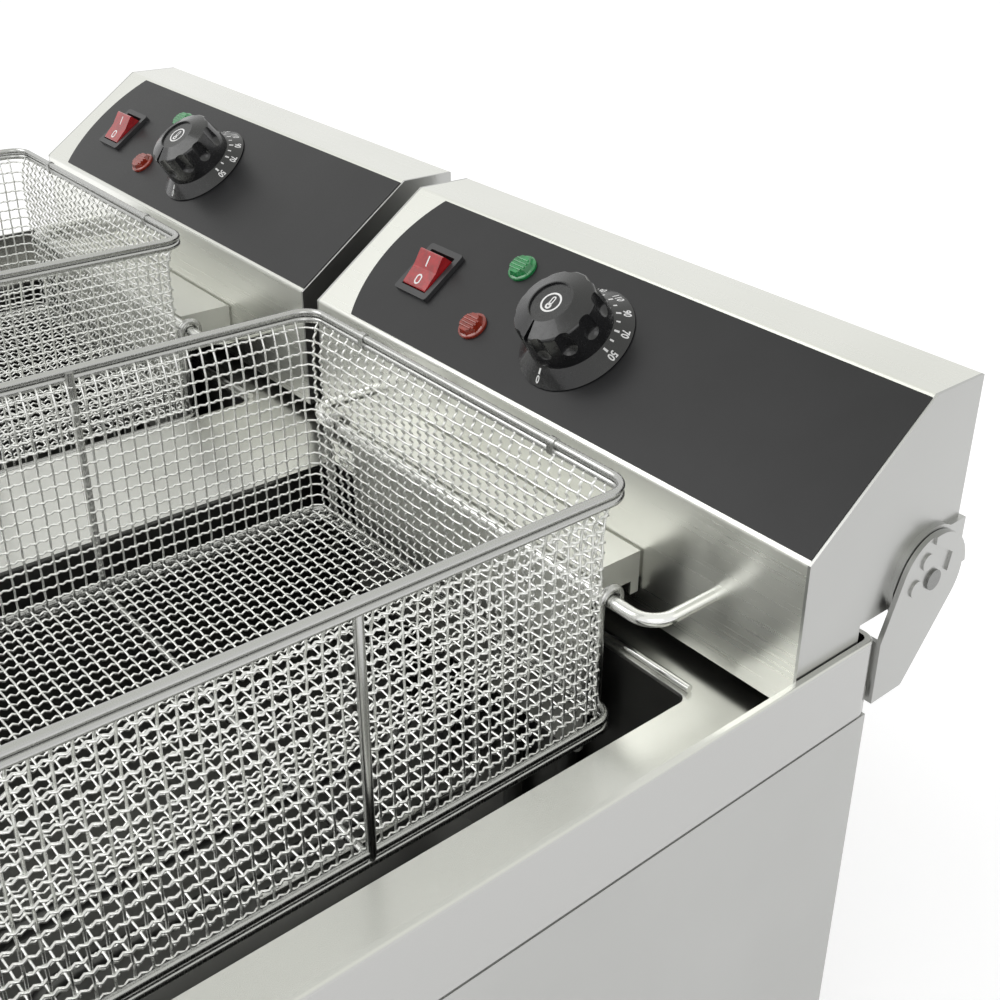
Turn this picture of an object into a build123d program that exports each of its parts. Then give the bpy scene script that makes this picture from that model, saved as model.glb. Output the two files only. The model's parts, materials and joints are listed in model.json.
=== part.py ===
"""Twin-well table-top deep fryer with two hinged heating heads and two hanging wire baskets.

Frame: X to the right, Y to the rear, Z up.  The origin is on the floor, under the middle of the
whole object's box.  All sizes are in millimetres.
"""
import os
from math import atan2, cos, radians, sin, tan

from build123d import *

# Body: deck, casing, base and feet
body_side_margin = 3.5
body_depth = 390.0
casing_height = 178.0
casing_sheet = 1.2
foot_height = 24.0
foot_radius = 18.0
foot_taper = 3.0
foot_inset = 42.0
foot_stud_radius = 4.0
foot_stud_length = 10.0
base_sheet = 1.5
vent_slot_length = 60.0
vent_slot_width = 6.0
vent_slot_pitch = 22.0
vent_slot_count = 4
skirt_height = 32.5
seam_gap = 2.0
panel_inset = 0.6
deck_recess = 20.0
deck_sheet = 1.5
rim_width = 3.0
rim_round = 1.2
deck_corner_radius = 6.0

# Tank
tank_width = 232.0
tank_length = 285.0
tank_depth = 150.0
tank_wall = 1.2
tank_corner_radius = 4.0
tank_flange = 9.0
tank_setback = 16.5
edge_rod_radius = 1.5
edge_rod_inset = 3.0
edge_rod_shortfall = 2.0

# Head: a folded control housing over the back of each tank
head_width = 300.0
head_gap = 13.0
head_height = 104.0
head_depth = 88.5
front_height = 59.5
top_depth = 28.0
head_lift = 6.2
rear_lift = 21.0
notch_depth = 34.0
rear_overhang = 46.0
head_sheet = 1.2
fold_radius = 2.2
overlay_thickness = 0.4
overlay_margin = 0.8
overlay_left_top = 23.0
overlay_left_middle = 15.0
overlay_left_bottom = 27.0

# Controls, placed from the middle of the sloping panel
knob_skirt_radius = 26.0
knob_skirt_height = 5.0
knob_grip_radius = 19.0
knob_grip_taper = 1.2
knob_height = 24.0
knob_gap = 0.6
knob_crown = 3.0
knob_crown_round = 1.4
knob_scallops = 10
knob_scallop_radius = 5.0
knob_scallop_depth = 1.2
knob_scallop_foot = 10.5
knob_scallop_end = 4.6
knob_cap_radius = 9.5
knob_cap_recess = 0.8
knob_cap_edge = 0.6
knob_slot_depth = 2.0
knob_slot_half_inner = 0.4
knob_slot_half_outer = 1.3
shaft_radius = 3.0
shaft_length = 17.0
shaft_clearance = 0.05
bush_radius = 5.0
bush_height = 1.6
bush_clearance = 1.2
thermostat_length = 46.0
thermostat_width = 38.0
thermostat_height = 26.0
rocker_offset_x = -98.9
rocker_offset_y = -1.2
bezel_width = 23.4
bezel_length = 27.2
bezel_height = 2.1
bezel_wall = 3.0
bezel_round = 1.5
switch_body_inset = 2.0
switch_body_depth = 20.0
switch_cavity_depth = 6.0
rocker_clearance = 0.4
rocker_tilt = 17.0
rocker_pivot_height = 2.25
rocker_centre_rise = 2.6
rocker_end_rise = 3.4
rocker_belly = 4.0
lamp_offset_x = -53.0
green_lamp_y = 19.0
red_lamp_y = -15.0
lamp_radius = 6.75
lamp_rim_height = 1.4
lamp_lens_radius = 5.4
lamp_lens_height = 4.2
lamp_lens_round = 1.6
lamp_stem_radius = 4.8
lamp_stem_length = 16.0
panel_hole_clearance = 0.2

# Rear of the head
gland_offset_x = 100.0
gland_height = 46.0
gland_radius = 11.0
gland_reach = 16.0
gland_flange = 5.0
gland_bore_radius = 5.0
gland_thread_radius = 8.0
gland_thread_length = 9.0
limiter_offset_x = 55.0
limiter_height = 46.0
limiter_length = 34.0
limiter_width = 24.0
limiter_body_depth = 22.0
limiter_stem_radius = 5.0
limiter_cap_radius = 8.0
limiter_cap_height = 9.0
back_slot_length = 26.0
back_slot_width = 4.0
back_slot_pitch_x = 34.0
back_slot_pitch_z = 12.0
back_slot_columns = 5
back_slot_rows = 3
back_slot_offset_x = -62.0
back_slot_height = 62.0
terminal_length = 60.0
terminal_width = 20.0
terminal_height = 16.0
terminal_cells = 5
terminal_groove = 2.0
terminal_groove_depth = 6.0
terminal_offset_x = 15.0
terminal_setback = 22.0

# Heating element and its cover
cover_half_width = 73.0
cover_depth = 27.0
cover_low = 17.0
cover_high = 29.0
cover_sheet = 1.0
cover_gap = 1.0
cover_lip = 5.0
cover_tab_depth = 4.0
cover_tab_drop = 6.0
element_radius = 4.0
element_height = 21.0
element_setback = 21.5
element_leg_outer = 58.0
element_leg_inner = 24.0
element_nest = 18.0
element_length = 215.0
element_floor_gap = 26.0
element_bend = 13.0
element_turn_outer = 30.0
element_turn_inner = 18.0
element_tail = 10.0
element_hole_clearance = 0.3
element_plate_half = 68.0
element_plate_height = 11.0
element_plate_thickness = 2.0
bulb_radius = 3.0
bulb_rise = 12.0
bulb_length = 110.0
bulb_bend = 10.0

# Hanger bar
bar_radius = 2.6
bar_half_width = 109.0
bar_reach = 30.0
bar_height = 27.0
bar_bend = 10.0

# Basket
basket_width = 194.0
basket_depth = 240.0
basket_height = 99.0
basket_corner_radius = 7.5
rim_overhang = 1.8
rim_above_bar = 52.0
rim_wire_radius = 1.5
rim_wire_pitch = 3.2
base_wire_pitch = 4.0
support_wire_radius = 1.7
support_setback = 103.0
support_bend = 3.4
hook_half_spacing = 88.0
hook_tip_drop = 6.0
hook_flat = 0.2
hang_clearance = 0.3
mesh_thickness = 1.6
mesh_gap = 0.1
mesh_pitch = 20.0
mesh_wire = 2.4
handle_wire_radius = 2.0
handle_half_spacing = 14.0
handle_rise = 14.0
handle_run = 30.0
handle_reach = 150.0
handle_bend = 12.0
grip_length = 100.0
grip_width = 44.0
grip_height = 18.0
grip_round = 6.0
grip_bore_clearance = 0.1
prong_depth = 90.0

# Hinge between the body and each head
pivot_depth = 70.0
pivot_height = 28.0
pin_radius = 3.0
pin_clearance = 0.05
pin_head_radius = 4.2
pin_head_height = 1.0
ear_thickness = 2.0
ear_radius = 21.0
ear_flange_width = 24.0
ear_flange_low = 24.0
ear_flange_high = 46.0
hinge_clearance = 0.3
bracket_thickness = 2.0
bracket_radius = 19.5
bracket_boss_radius = 3.4
bracket_boss_height = 0.8
bracket_bosses = ((-10.5, 0.0), (-5.3, 9.5))
bracket_pad_height = 1.0
bracket_pad = ((-2.7, 24.0), (-2.7, 16.1), (9.6, 8.6), (7.9, 1.0), (24.0, 1.0), (24.0, 24.0))
bracket_foot_low = -15.5
bracket_foot_high = 11.0
bracket_foot_depth = 18.0
bracket_flange_width = 28.0
bracket_screw_spacing = 11.0
bracket_screw_inset = 15.0
bracket_screw_drop = 4.5
screw_radius = 2.0
screw_head_radius = 4.0
screw_head_height = 2.4
screw_length = 7.0
screw_clearance = 0.1

# Drain tap
tap_height = 18.0
pipe_radius = 8.0
pipe_bore = 5.5
pipe_clearance = 0.6
rosette_radius = 18.0
rosette_thickness = 2.0
valve_radius = 12.0
valve_length = 34.0
valve_standoff = 10.0
spout_radius = 7.5
spout_drop = 26.0
spout_setback = 9.0
stem_radius = 3.0
stem_height = 10.0
lever_hub_radius = 7.0
lever_hub_height = 7.0
lever_gap = 0.5
lever_length = 52.0
lever_width = 10.0
lever_thickness = 3.0

# Levels and lines worked out from the sizes above
body_width = 2 * head_width + head_gap + 2 * body_side_margin
casing_z = foot_height
seam_z = casing_z + casing_height
rim_z = seam_z + skirt_height
deck_z = rim_z - deck_recess
deck_under_z = deck_z - deck_sheet
tank_floor_z = deck_under_z - tank_depth
head_z = deck_z + head_lift

slope_depth = head_depth - top_depth
slope_rise = head_height - front_height
slope_angle = atan2(slope_rise, slope_depth)
slope_length = slope_depth / cos(slope_angle)

basket_gap = bar_reach + bar_radius + hang_clearance + support_wire_radius
front_reach = basket_gap + basket_depth + handle_reach
rear_reach = head_depth + gland_reach
head_y = (front_reach - rear_reach) / 2
head_rear_y = head_y + head_depth
body_rear_y = head_rear_y - rear_overhang
body_front_y = body_rear_y - body_depth
body_mid_y = (body_rear_y + body_front_y) / 2
tank_rear_y = head_y - tank_setback
tank_front_y = tank_rear_y - tank_length
tank_mid_y = (tank_rear_y + tank_front_y) / 2
casing_width = body_width - 2 * deck_sheet
casing_depth = body_depth - 2 * deck_sheet
casing_front_y = body_front_y + panel_inset

bar_y = head_y - bar_reach
bar_z = head_z + bar_height
basket_rear_y = head_y - basket_gap
basket_front_y = basket_rear_y - basket_depth
basket_mid_y = (basket_rear_y + basket_front_y) / 2
basket_top_z = bar_z + rim_above_bar
basket_base_z = basket_top_z - basket_height
handle_z = basket_top_z + handle_rise

pivot_y = head_y + pivot_depth
pivot_z = head_z + pivot_height
tap_z = tank_floor_z + tap_height
valve_y = casing_front_y - rosette_thickness - valve_standoff - valve_length / 2
element_z = tank_floor_z + tank_wall + element_floor_gap

side_centres = {"left": -(head_width + head_gap) / 2, "right": (head_width + head_gap) / 2}
base_align = (Align.CENTER, Align.CENTER, Align.MIN)
low_align = (Align.CENTER, Align.MIN)


def panel_plane(centre_x, lift=0.0):
    """Plane on the sloping panel: local x to the right, local y up the slope, z outwards."""
    normal = Vector(0, -sin(slope_angle), cos(slope_angle))
    middle = Vector(centre_x, head_y + slope_depth / 2, head_z + front_height + slope_rise / 2)
    return Plane(origin=middle + normal * lift, x_dir=(1, 0, 0), z_dir=normal)


def panel_section(centre_x, offset_x, offset_y):
    """Plane square to the panel through a control: local x to the right, local y outwards."""
    face = panel_plane(centre_x)
    middle = face.from_local_coords((offset_x, offset_y, 0))
    return Plane(origin=middle, x_dir=(1, 0, 0), z_dir=face.y_dir * -1)


def front_plane(centre_x):
    """Plane on the head's front: local x to the right, local y up, z outwards."""
    return Plane(origin=(centre_x, head_y, head_z), x_dir=(1, 0, 0), z_dir=(0, -1, 0))


def back_plane(centre_x):
    """Plane on the head's back: local x to the left, local y up, z outwards."""
    return Plane(origin=(centre_x, head_rear_y, head_z), x_dir=(-1, 0, 0), z_dir=(0, 1, 0))


def add_tube(points, bends, radius):
    """Sweep a round wire or tube along straight runs joined by tangent bends."""
    with BuildLine() as route:
        FilletPolyline(*points, radius=bends)
    with BuildSketch(Plane(origin=route.line @ 0, z_dir=route.line % 0)) as section:
        Circle(radius)
    sweep(sections=section.sketch, path=route.line)


def save(piece, label):
    piece.part.label = label
    export_step(piece.part, f"parts/{label}.step")


# Casing, base and feet


def make_casing():
    with BuildPart() as casing:
        with BuildSketch(Plane.XY.offset(casing_z)):
            with Locations((0, body_mid_y)):
                Rectangle(casing_width, casing_depth)
                inner_width = casing_width - 2 * casing_sheet
                Rectangle(inner_width, casing_depth - 2 * casing_sheet, mode=Mode.SUBTRACT)
        extrude(amount=deck_under_z - casing_z)
        with BuildSketch(Plane.XY.offset(casing_z)):
            with Locations((0, body_mid_y)):
                Rectangle(body_width - 2 * panel_inset, body_depth - 2 * panel_inset)
                Rectangle(casing_width, casing_depth, mode=Mode.SUBTRACT)
        extrude(amount=casing_height - seam_gap)
        with BuildSketch(Plane.XZ.offset(-casing_front_y)):
            with Locations(*[(x, tap_z) for x in side_centres.values()]):
                Circle(pipe_radius + pipe_clearance)
        extrude(amount=deck_sheet + casing_sheet, both=True, mode=Mode.SUBTRACT)
        with BuildSketch(Plane.XZ.offset(deck_sheet - body_rear_y)):
            with Locations(*bracket_screw_spots()):
                Circle(screw_radius + screw_clearance)
        extrude(amount=casing_sheet, both=True, mode=Mode.SUBTRACT)
    return casing


def foot_spots():
    reach_x = casing_width / 2 - foot_inset
    reach_y = casing_depth / 2 - foot_inset
    return [(x, body_mid_y + y) for x in (-reach_x, reach_x) for y in (-reach_y, reach_y)]


def make_base_plate():
    with BuildPart() as base:
        with BuildSketch(Plane.XY.offset(casing_z)):
            with Locations((0, body_mid_y)):
                Rectangle(casing_width - 2 * casing_sheet, casing_depth - 2 * casing_sheet)
            with Locations(*foot_spots()):
                Circle(foot_stud_radius + screw_clearance, mode=Mode.SUBTRACT)
            for x in side_centres.values():
                with Locations((x, body_mid_y)):
                    with GridLocations(0, vent_slot_pitch, 1, vent_slot_count):
                        SlotOverall(vent_slot_length, vent_slot_width, mode=Mode.SUBTRACT)
        extrude(amount=base_sheet)
    return base


def make_feet():
    with BuildPart() as feet:
        for x, y in foot_spots():
            with Locations((x, y, 0)):
                Cone(foot_radius - foot_taper, foot_radius, foot_height, align=base_align)
            with Locations((x, y, foot_height)):
                Cylinder(foot_stud_radius, foot_stud_length, align=base_align)
    return feet


# Deck, tanks and edge rods


def make_top_deck():
    with BuildPart() as deck:
        with BuildSketch(Plane.XY.offset(seam_z)):
            with Locations((0, body_mid_y)):
                RectangleRounded(body_width, body_depth, deck_corner_radius)
        extrude(amount=skirt_height)
        fillet(deck.faces().sort_by(Axis.Z)[-1].outer_wire().edges(), rim_round)
        with BuildSketch(Plane.XY.offset(deck_z)):
            with Locations((0, body_mid_y)):
                RectangleRounded(body_width - 2 * rim_width, body_depth - 2 * rim_width, rim_width)
        extrude(amount=deck_recess, mode=Mode.SUBTRACT)
        with BuildSketch(Plane.XY.offset(seam_z)):
            with Locations((0, body_mid_y)):
                Rectangle(casing_width, casing_depth)
        extrude(amount=deck_under_z - seam_z, mode=Mode.SUBTRACT)
        with BuildSketch(Plane.XY.offset(deck_under_z)):
            with Locations(*[(x, tank_mid_y) for x in side_centres.values()]):
                RectangleRounded(tank_width, tank_length, tank_corner_radius)
        extrude(amount=deck_sheet, mode=Mode.SUBTRACT)
        with BuildSketch(Plane.XZ.offset(-body_rear_y)):
            with Locations(*bracket_screw_spots()):
                Circle(screw_radius + screw_clearance)
        extrude(amount=deck_sheet, both=True, mode=Mode.SUBTRACT)
    return deck


def make_tank(centre_x):
    with BuildPart() as tank:
        with BuildSketch(Plane.XY.offset(tank_floor_z)):
            with Locations((centre_x, tank_mid_y)):
                outer_radius = tank_corner_radius + tank_wall
                RectangleRounded(tank_width + 2 * tank_wall, tank_length + 2 * tank_wall, outer_radius)
        extrude(amount=tank_depth)
        with BuildSketch(Plane.XY.offset(deck_under_z)):
            with Locations((centre_x, tank_mid_y)):
                Rectangle(tank_width + 2 * tank_flange, tank_length + 2 * tank_flange)
        extrude(amount=-tank_wall)
        with BuildSketch(Plane.XY.offset(tank_floor_z + tank_wall)):
            with Locations((centre_x, tank_mid_y)):
                RectangleRounded(tank_width, tank_length, tank_corner_radius)
        extrude(amount=tank_depth, mode=Mode.SUBTRACT)
        with BuildSketch(Plane.XZ.offset(-tank_front_y)):
            with Locations((centre_x, tap_z)):
                Circle(pipe_bore)
        extrude(amount=2 * tank_wall, both=True, mode=Mode.SUBTRACT)
    return tank


def make_edge_rods():
    rod_length = tank_width - 2 * edge_rod_shortfall
    rod_y = tank_rear_y + edge_rod_inset
    rod_z = deck_z + edge_rod_radius
    with BuildPart() as rods:
        for x in side_centres.values():
            with BuildSketch(Plane.YZ.offset(x - rod_length / 2)):
                with Locations((rod_y, rod_z)):
                    Circle(edge_rod_radius)
            extrude(amount=rod_length)
    return rods


# Head housing


def make_head_shell(centre_x):
    inner_fold = head_sheet * tan((radians(90) - slope_angle) / 2)
    inner_top = head_sheet * tan(slope_angle / 2)
    outer_points = ((0, 0), (0, front_height), (slope_depth, head_height), (head_depth, head_height))
    inner_points = (
        (head_sheet, 0),
        (head_sheet, front_height - inner_fold),
        (slope_depth + inner_top, head_height - head_sheet),
        (head_depth, head_height - head_sheet),
    )
    left_x = centre_x - head_width / 2 + head_sheet
    profile_plane = Plane(origin=(left_x, head_y, head_z), x_dir=(0, 1, 0), z_dir=(1, 0, 0))
    with BuildPart() as shell:
        with BuildSketch(profile_plane):
            with BuildLine():
                FilletPolyline(*outer_points, radius=fold_radius)
                FilletPolyline(*inner_points, radius=fold_radius - head_sheet)
                Line(outer_points[0], inner_points[0])
                Line(outer_points[-1], inner_points[-1])
            make_face()
        extrude(amount=head_width - 2 * head_sheet)
        with BuildSketch(panel_plane(centre_x)):
            add_panel_holes(Mode.ADD)
        extrude(amount=2 * head_sheet, both=True, mode=Mode.SUBTRACT)
        with BuildSketch(front_plane(centre_x)):
            with Locations(*[(x, element_height) for x in element_leg_spots()]):
                Circle(element_radius + element_hole_clearance)
            with Locations((0, element_height)):
                Circle(bulb_radius + element_hole_clearance)
        extrude(amount=2 * head_sheet, both=True, mode=Mode.SUBTRACT)
    return shell


def add_panel_holes(mode):
    """Cut-outs for the switch, the two lamps and the thermostat bush, in the panel's own plane."""
    with Locations((rocker_offset_x, rocker_offset_y)):
        hole_width = bezel_width - 2 * switch_body_inset + 2 * panel_hole_clearance
        hole_length = bezel_length - 2 * switch_body_inset + 2 * panel_hole_clearance
        Rectangle(hole_width, hole_length, mode=mode)
    with Locations((lamp_offset_x, green_lamp_y), (lamp_offset_x, red_lamp_y)):
        Circle(lamp_stem_radius + panel_hole_clearance, mode=mode)
    Circle(bush_radius + panel_hole_clearance, mode=mode)


def make_side_plates(centre_x):
    outline = (
        (0, 0),
        (0, front_height),
        (slope_depth, head_height),
        (head_depth, head_height),
        (head_depth, rear_lift),
        (notch_depth, rear_lift),
        (notch_depth, 0),
    )
    with BuildPart() as plates:
        for left_x in (centre_x - head_width / 2, centre_x + head_width / 2 - head_sheet):
            with BuildSketch(Plane(origin=(left_x, head_y, head_z), x_dir=(0, 1, 0), z_dir=(1, 0, 0))):
                with BuildLine():
                    Polyline(*outline, close=True)
                make_face()
                with Locations((pivot_depth, pivot_height)):
                    Circle(pin_radius + pin_clearance, mode=Mode.SUBTRACT)
            extrude(amount=head_sheet)
    return plates


def make_head_floor(centre_x):
    left_x = centre_x - head_width / 2 + head_sheet
    with BuildPart() as floor:
        with BuildSketch(Plane(origin=(left_x, head_y, head_z), x_dir=(0, 1, 0), z_dir=(1, 0, 0))):
            with Locations((head_sheet, 0)):
                Rectangle(notch_depth - head_sheet, head_sheet, align=Align.MIN)
            with Locations((notch_depth - head_sheet, 0)):
                Rectangle(head_sheet, rear_lift + head_sheet, align=Align.MIN)
            with Locations((notch_depth, rear_lift)):
                Rectangle(head_depth - head_sheet - notch_depth, head_sheet, align=Align.MIN)
        extrude(amount=head_width - 2 * head_sheet)
    return floor


def make_back_panel(centre_x):
    panel_height = head_height - head_sheet - rear_lift
    with BuildPart() as back:
        with BuildSketch(back_plane(centre_x)):
            with Locations((0, rear_lift)):
                Rectangle(head_width - 2 * head_sheet, panel_height, align=low_align)
            with Locations((back_slot_offset_x, back_slot_height)):
                with GridLocations(back_slot_pitch_x, back_slot_pitch_z, back_slot_columns, back_slot_rows):
                    SlotOverall(back_slot_length, back_slot_width, mode=Mode.SUBTRACT)
            with Locations((gland_offset_x, gland_height)):
                Circle(gland_thread_radius + panel_hole_clearance, mode=Mode.SUBTRACT)
            with Locations((limiter_offset_x, limiter_height)):
                Circle(limiter_stem_radius + panel_hole_clearance, mode=Mode.SUBTRACT)
        extrude(amount=-head_sheet)
    return back


def make_overlay(centre_x):
    half_width = head_width / 2
    half_height = slope_length / 2 - overlay_margin - fold_radius / 2
    right = half_width - head_sheet
    with BuildPart() as overlay:
        with BuildSketch(panel_plane(centre_x)):
            with BuildLine():
                top_left = (overlay_left_top - half_width, half_height)
                bottom_left = (overlay_left_bottom - half_width, -half_height)
                ThreePointArc(top_left, (overlay_left_middle - half_width, 0), bottom_left)
                Polyline(bottom_left, (right, -half_height), (right, half_height), top_left)
            make_face()
            add_panel_holes(Mode.SUBTRACT)
        extrude(amount=overlay_thickness)
    return overlay


# Controls


def make_switch_body(centre_x):
    spot = (rocker_offset_x, rocker_offset_y)
    cavity_width = bezel_width - 2 * bezel_wall
    cavity_length = bezel_length - 2 * bezel_wall
    with BuildPart() as body:
        with BuildSketch(panel_plane(centre_x, overlay_thickness)):
            with Locations(spot):
                RectangleRounded(bezel_width, bezel_length, bezel_round)
        extrude(amount=bezel_height)
        with BuildSketch(panel_plane(centre_x, overlay_thickness)):
            with Locations(spot):
                Rectangle(bezel_width - 2 * switch_body_inset, bezel_length - 2 * switch_body_inset)
        extrude(amount=-switch_body_depth)
        with BuildSketch(panel_plane(centre_x, -switch_cavity_depth)):
            with Locations(spot):
                Rectangle(cavity_width, cavity_length)
        extrude(amount=switch_cavity_depth + overlay_thickness + bezel_height, mode=Mode.SUBTRACT)
    return body


def make_rocker(centre_x):
    width = bezel_width - 2 * bezel_wall - 2 * rocker_clearance
    radius = bezel_length / 2 - bezel_wall - rocker_clearance
    face = panel_plane(centre_x, rocker_pivot_height)
    pivot = face.from_local_coords((rocker_offset_x - width / 2, rocker_offset_y, 0))
    tilt = radians(rocker_tilt)
    lean = face.y_dir * cos(tilt) + face.z_dir * sin(tilt)
    with BuildPart() as rocker:
        with BuildSketch(Plane(origin=pivot, x_dir=lean, z_dir=(1, 0, 0))):
            Circle(radius)
            with BuildLine():
                Polyline(
                    (-radius, rocker_end_rise),
                    (0, rocker_centre_rise),
                    (radius, rocker_end_rise),
                    (radius, 2 * radius),
                    (-radius, 2 * radius),
                    close=True,
                )
            make_face(mode=Mode.SUBTRACT)
            with Locations((0, -rocker_belly)):
                Rectangle(2 * radius, radius, align=(Align.CENTER, Align.MAX), mode=Mode.SUBTRACT)
        extrude(amount=width)
    return rocker


def make_lamp(centre_x, offset_y):
    spot = (lamp_offset_x, offset_y)
    with BuildPart() as lamp:
        with BuildSketch(panel_plane(centre_x, overlay_thickness)):
            with Locations(spot):
                Circle(lamp_lens_radius)
        extrude(amount=lamp_lens_height)
        outwards = Axis(panel_plane(centre_x).origin, panel_plane(centre_x).z_dir)
        fillet(lamp.faces().sort_by(outwards)[-1].edges(), lamp_lens_round)
        with BuildSketch(panel_plane(centre_x, overlay_thickness)):
            with Locations(spot):
                Circle(lamp_radius)
        extrude(amount=lamp_rim_height)
        with BuildSketch(panel_plane(centre_x, overlay_thickness)):
            with Locations(spot):
                Circle(lamp_stem_radius)
        extrude(amount=-lamp_stem_length)
    return lamp


def make_thermostat(centre_x):
    with BuildPart() as thermostat:
        with BuildSketch(panel_plane(centre_x, -head_sheet)):
            Rectangle(thermostat_length, thermostat_width)
        extrude(amount=-thermostat_height)
        with BuildSketch(panel_plane(centre_x, -head_sheet)):
            Circle(bush_radius)
        extrude(amount=head_sheet + bush_height)
        with BuildSketch(panel_plane(centre_x)):
            Circle(shaft_radius)
        extrude(amount=shaft_length)
    return thermostat


def make_scallop():
    """Round-ended cutter for one finger hollow in the knob's grip."""
    with BuildPart() as scallop:
        Cylinder(knob_scallop_radius, knob_height, align=base_align)
        fillet(scallop.faces().sort_by(Axis.Z)[0].edges(), knob_scallop_end)
    return scallop.part


def make_knob(centre_x):
    base = overlay_thickness + knob_gap
    skirt_top = base + knob_skirt_height
    top = base + knob_height
    hollow_top = bush_height + bush_clearance
    bore = shaft_radius + shaft_clearance
    normal = panel_plane(centre_x).z_dir
    middle = panel_plane(centre_x).origin
    grip_top_radius = knob_grip_radius - knob_grip_taper
    crown_edge = top - knob_crown
    with BuildPart() as knob:
        with BuildSketch(panel_section(centre_x, 0, 0)):
            with BuildLine():
                Polyline(
                    (bush_radius + bush_clearance, base),
                    (knob_skirt_radius, base),
                    (knob_grip_radius, skirt_top),
                    (grip_top_radius, crown_edge),
                    (knob_cap_radius + knob_cap_edge, top),
                    (knob_cap_radius, top),
                    (knob_cap_radius, top - knob_cap_recess),
                    (0, top - knob_cap_recess),
                    (0, shaft_length + knob_gap),
                    (bore, shaft_length + knob_gap),
                    (bore, hollow_top),
                    (bush_radius + bush_clearance, hollow_top),
                    close=True,
                )
            make_face()
        outwards = Axis(middle, normal)
        revolve(axis=outwards)
        rings = knob.edges().filter_by(GeomType.CIRCLE)
        fillet(rings.sort_by(lambda edge: abs(edge.radius - grip_top_radius))[0], knob_crown_round)
        scallop_ring = grip_top_radius - knob_scallop_depth + knob_scallop_radius
        with Locations(panel_plane(centre_x, knob_scallop_foot)):
            with PolarLocations(scallop_ring, knob_scallops):
                add(make_scallop(), mode=Mode.SUBTRACT)
        with BuildSketch(panel_plane(centre_x, crown_edge - knob_slot_depth)):
            with BuildLine():
                inner_y = -knob_cap_radius - knob_cap_edge
                Polyline(
                    (-knob_slot_half_inner, inner_y),
                    (-knob_slot_half_outer, -knob_grip_radius),
                    (knob_slot_half_outer, -knob_grip_radius),
                    (knob_slot_half_inner, inner_y),
                    close=True,
                )
            make_face()
        extrude(amount=knob_crown + knob_slot_depth, mode=Mode.SUBTRACT)
    return knob


# Rear fittings inside and outside the head


def make_cable_gland(centre_x):
    with BuildPart() as gland:
        with BuildSketch(back_plane(centre_x)):
            with Locations((gland_offset_x, gland_height)):
                RegularPolygon(gland_radius, 6)
        extrude(amount=gland_flange)
        with BuildSketch(back_plane(centre_x)):
            with Locations((gland_offset_x, gland_height)):
                Circle(gland_thread_radius)
        extrude(amount=gland_reach)
        with BuildSketch(back_plane(centre_x)):
            with Locations((gland_offset_x, gland_height)):
                Circle(gland_thread_radius)
        extrude(amount=-gland_thread_length)
        with BuildSketch(back_plane(centre_x)):
            with Locations((gland_offset_x, gland_height)):
                Circle(gland_bore_radius)
        extrude(amount=gland_reach + gland_thread_length, both=True, mode=Mode.SUBTRACT)
    return gland


def make_limiter(centre_x):
    spot = (limiter_offset_x, limiter_height)
    with BuildPart() as limiter:
        inner_plane = back_plane(centre_x).offset(-head_sheet)
        with BuildSketch(inner_plane):
            with Locations(spot):
                Rectangle(limiter_length, limiter_width)
        extrude(amount=-limiter_body_depth)
        with BuildSketch(inner_plane):
            with Locations(spot):
                Circle(limiter_stem_radius)
        extrude(amount=head_sheet)
        with BuildSketch(back_plane(centre_x)):
            with Locations(spot):
                Circle(limiter_cap_radius)
        extrude(amount=limiter_cap_height)
    return limiter


def make_terminal_block(centre_x):
    block_y = head_rear_y - terminal_setback
    block_z = head_z + rear_lift + head_sheet
    cell = terminal_length / terminal_cells
    with BuildPart() as block:
        with Locations((centre_x + terminal_offset_x, block_y, block_z)):
            Box(terminal_length, terminal_width, terminal_height, align=base_align)
        with BuildSketch(Plane.XY.offset(block_z + terminal_height)):
            with Locations((centre_x + terminal_offset_x, block_y)):
                with GridLocations(cell, 0, terminal_cells - 1, 1):
                    Rectangle(terminal_groove, terminal_width)
        extrude(amount=-terminal_groove_depth, mode=Mode.SUBTRACT)
    return block


# Heating element, its cover, the sensor bulb and the hanger bar


def element_leg_spots():
    return (-element_leg_outer, -element_leg_inner, element_leg_inner, element_leg_outer)


def make_element_cover(centre_x):
    """Small box on the head's front, held just off it by a lip inside its rear edge."""
    width = 2 * cover_half_width
    height = cover_high - cover_low
    inner_width = width - 2 * cover_sheet
    inner_height = height - cover_sheet
    front = front_plane(centre_x)
    with BuildPart() as cover:
        with BuildSketch(front.offset(cover_gap)):
            with Locations((0, cover_low)):
                Rectangle(width, height, align=low_align)
        extrude(amount=cover_depth - cover_gap)
        with BuildSketch(front):
            with Locations((0, cover_low)):
                Rectangle(inner_width, inner_height, align=low_align)
        extrude(amount=cover_depth - cover_sheet, mode=Mode.SUBTRACT)
        with BuildSketch(front):
            with Locations((0, cover_low)):
                Rectangle(inner_width, inner_height, align=low_align)
                lip_opening = (inner_width - 2 * cover_sheet, inner_height - cover_sheet)
                Rectangle(*lip_opening, align=low_align, mode=Mode.SUBTRACT)
        extrude(amount=cover_lip)
        with BuildSketch(front.offset(cover_gap)):
            for x in (-cover_half_width + cover_sheet / 2, cover_half_width - cover_sheet / 2):
                with Locations((x, cover_low - cover_tab_drop)):
                    Rectangle(cover_sheet, cover_tab_drop, align=low_align)
        extrude(amount=cover_tab_depth)
    return cover


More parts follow.
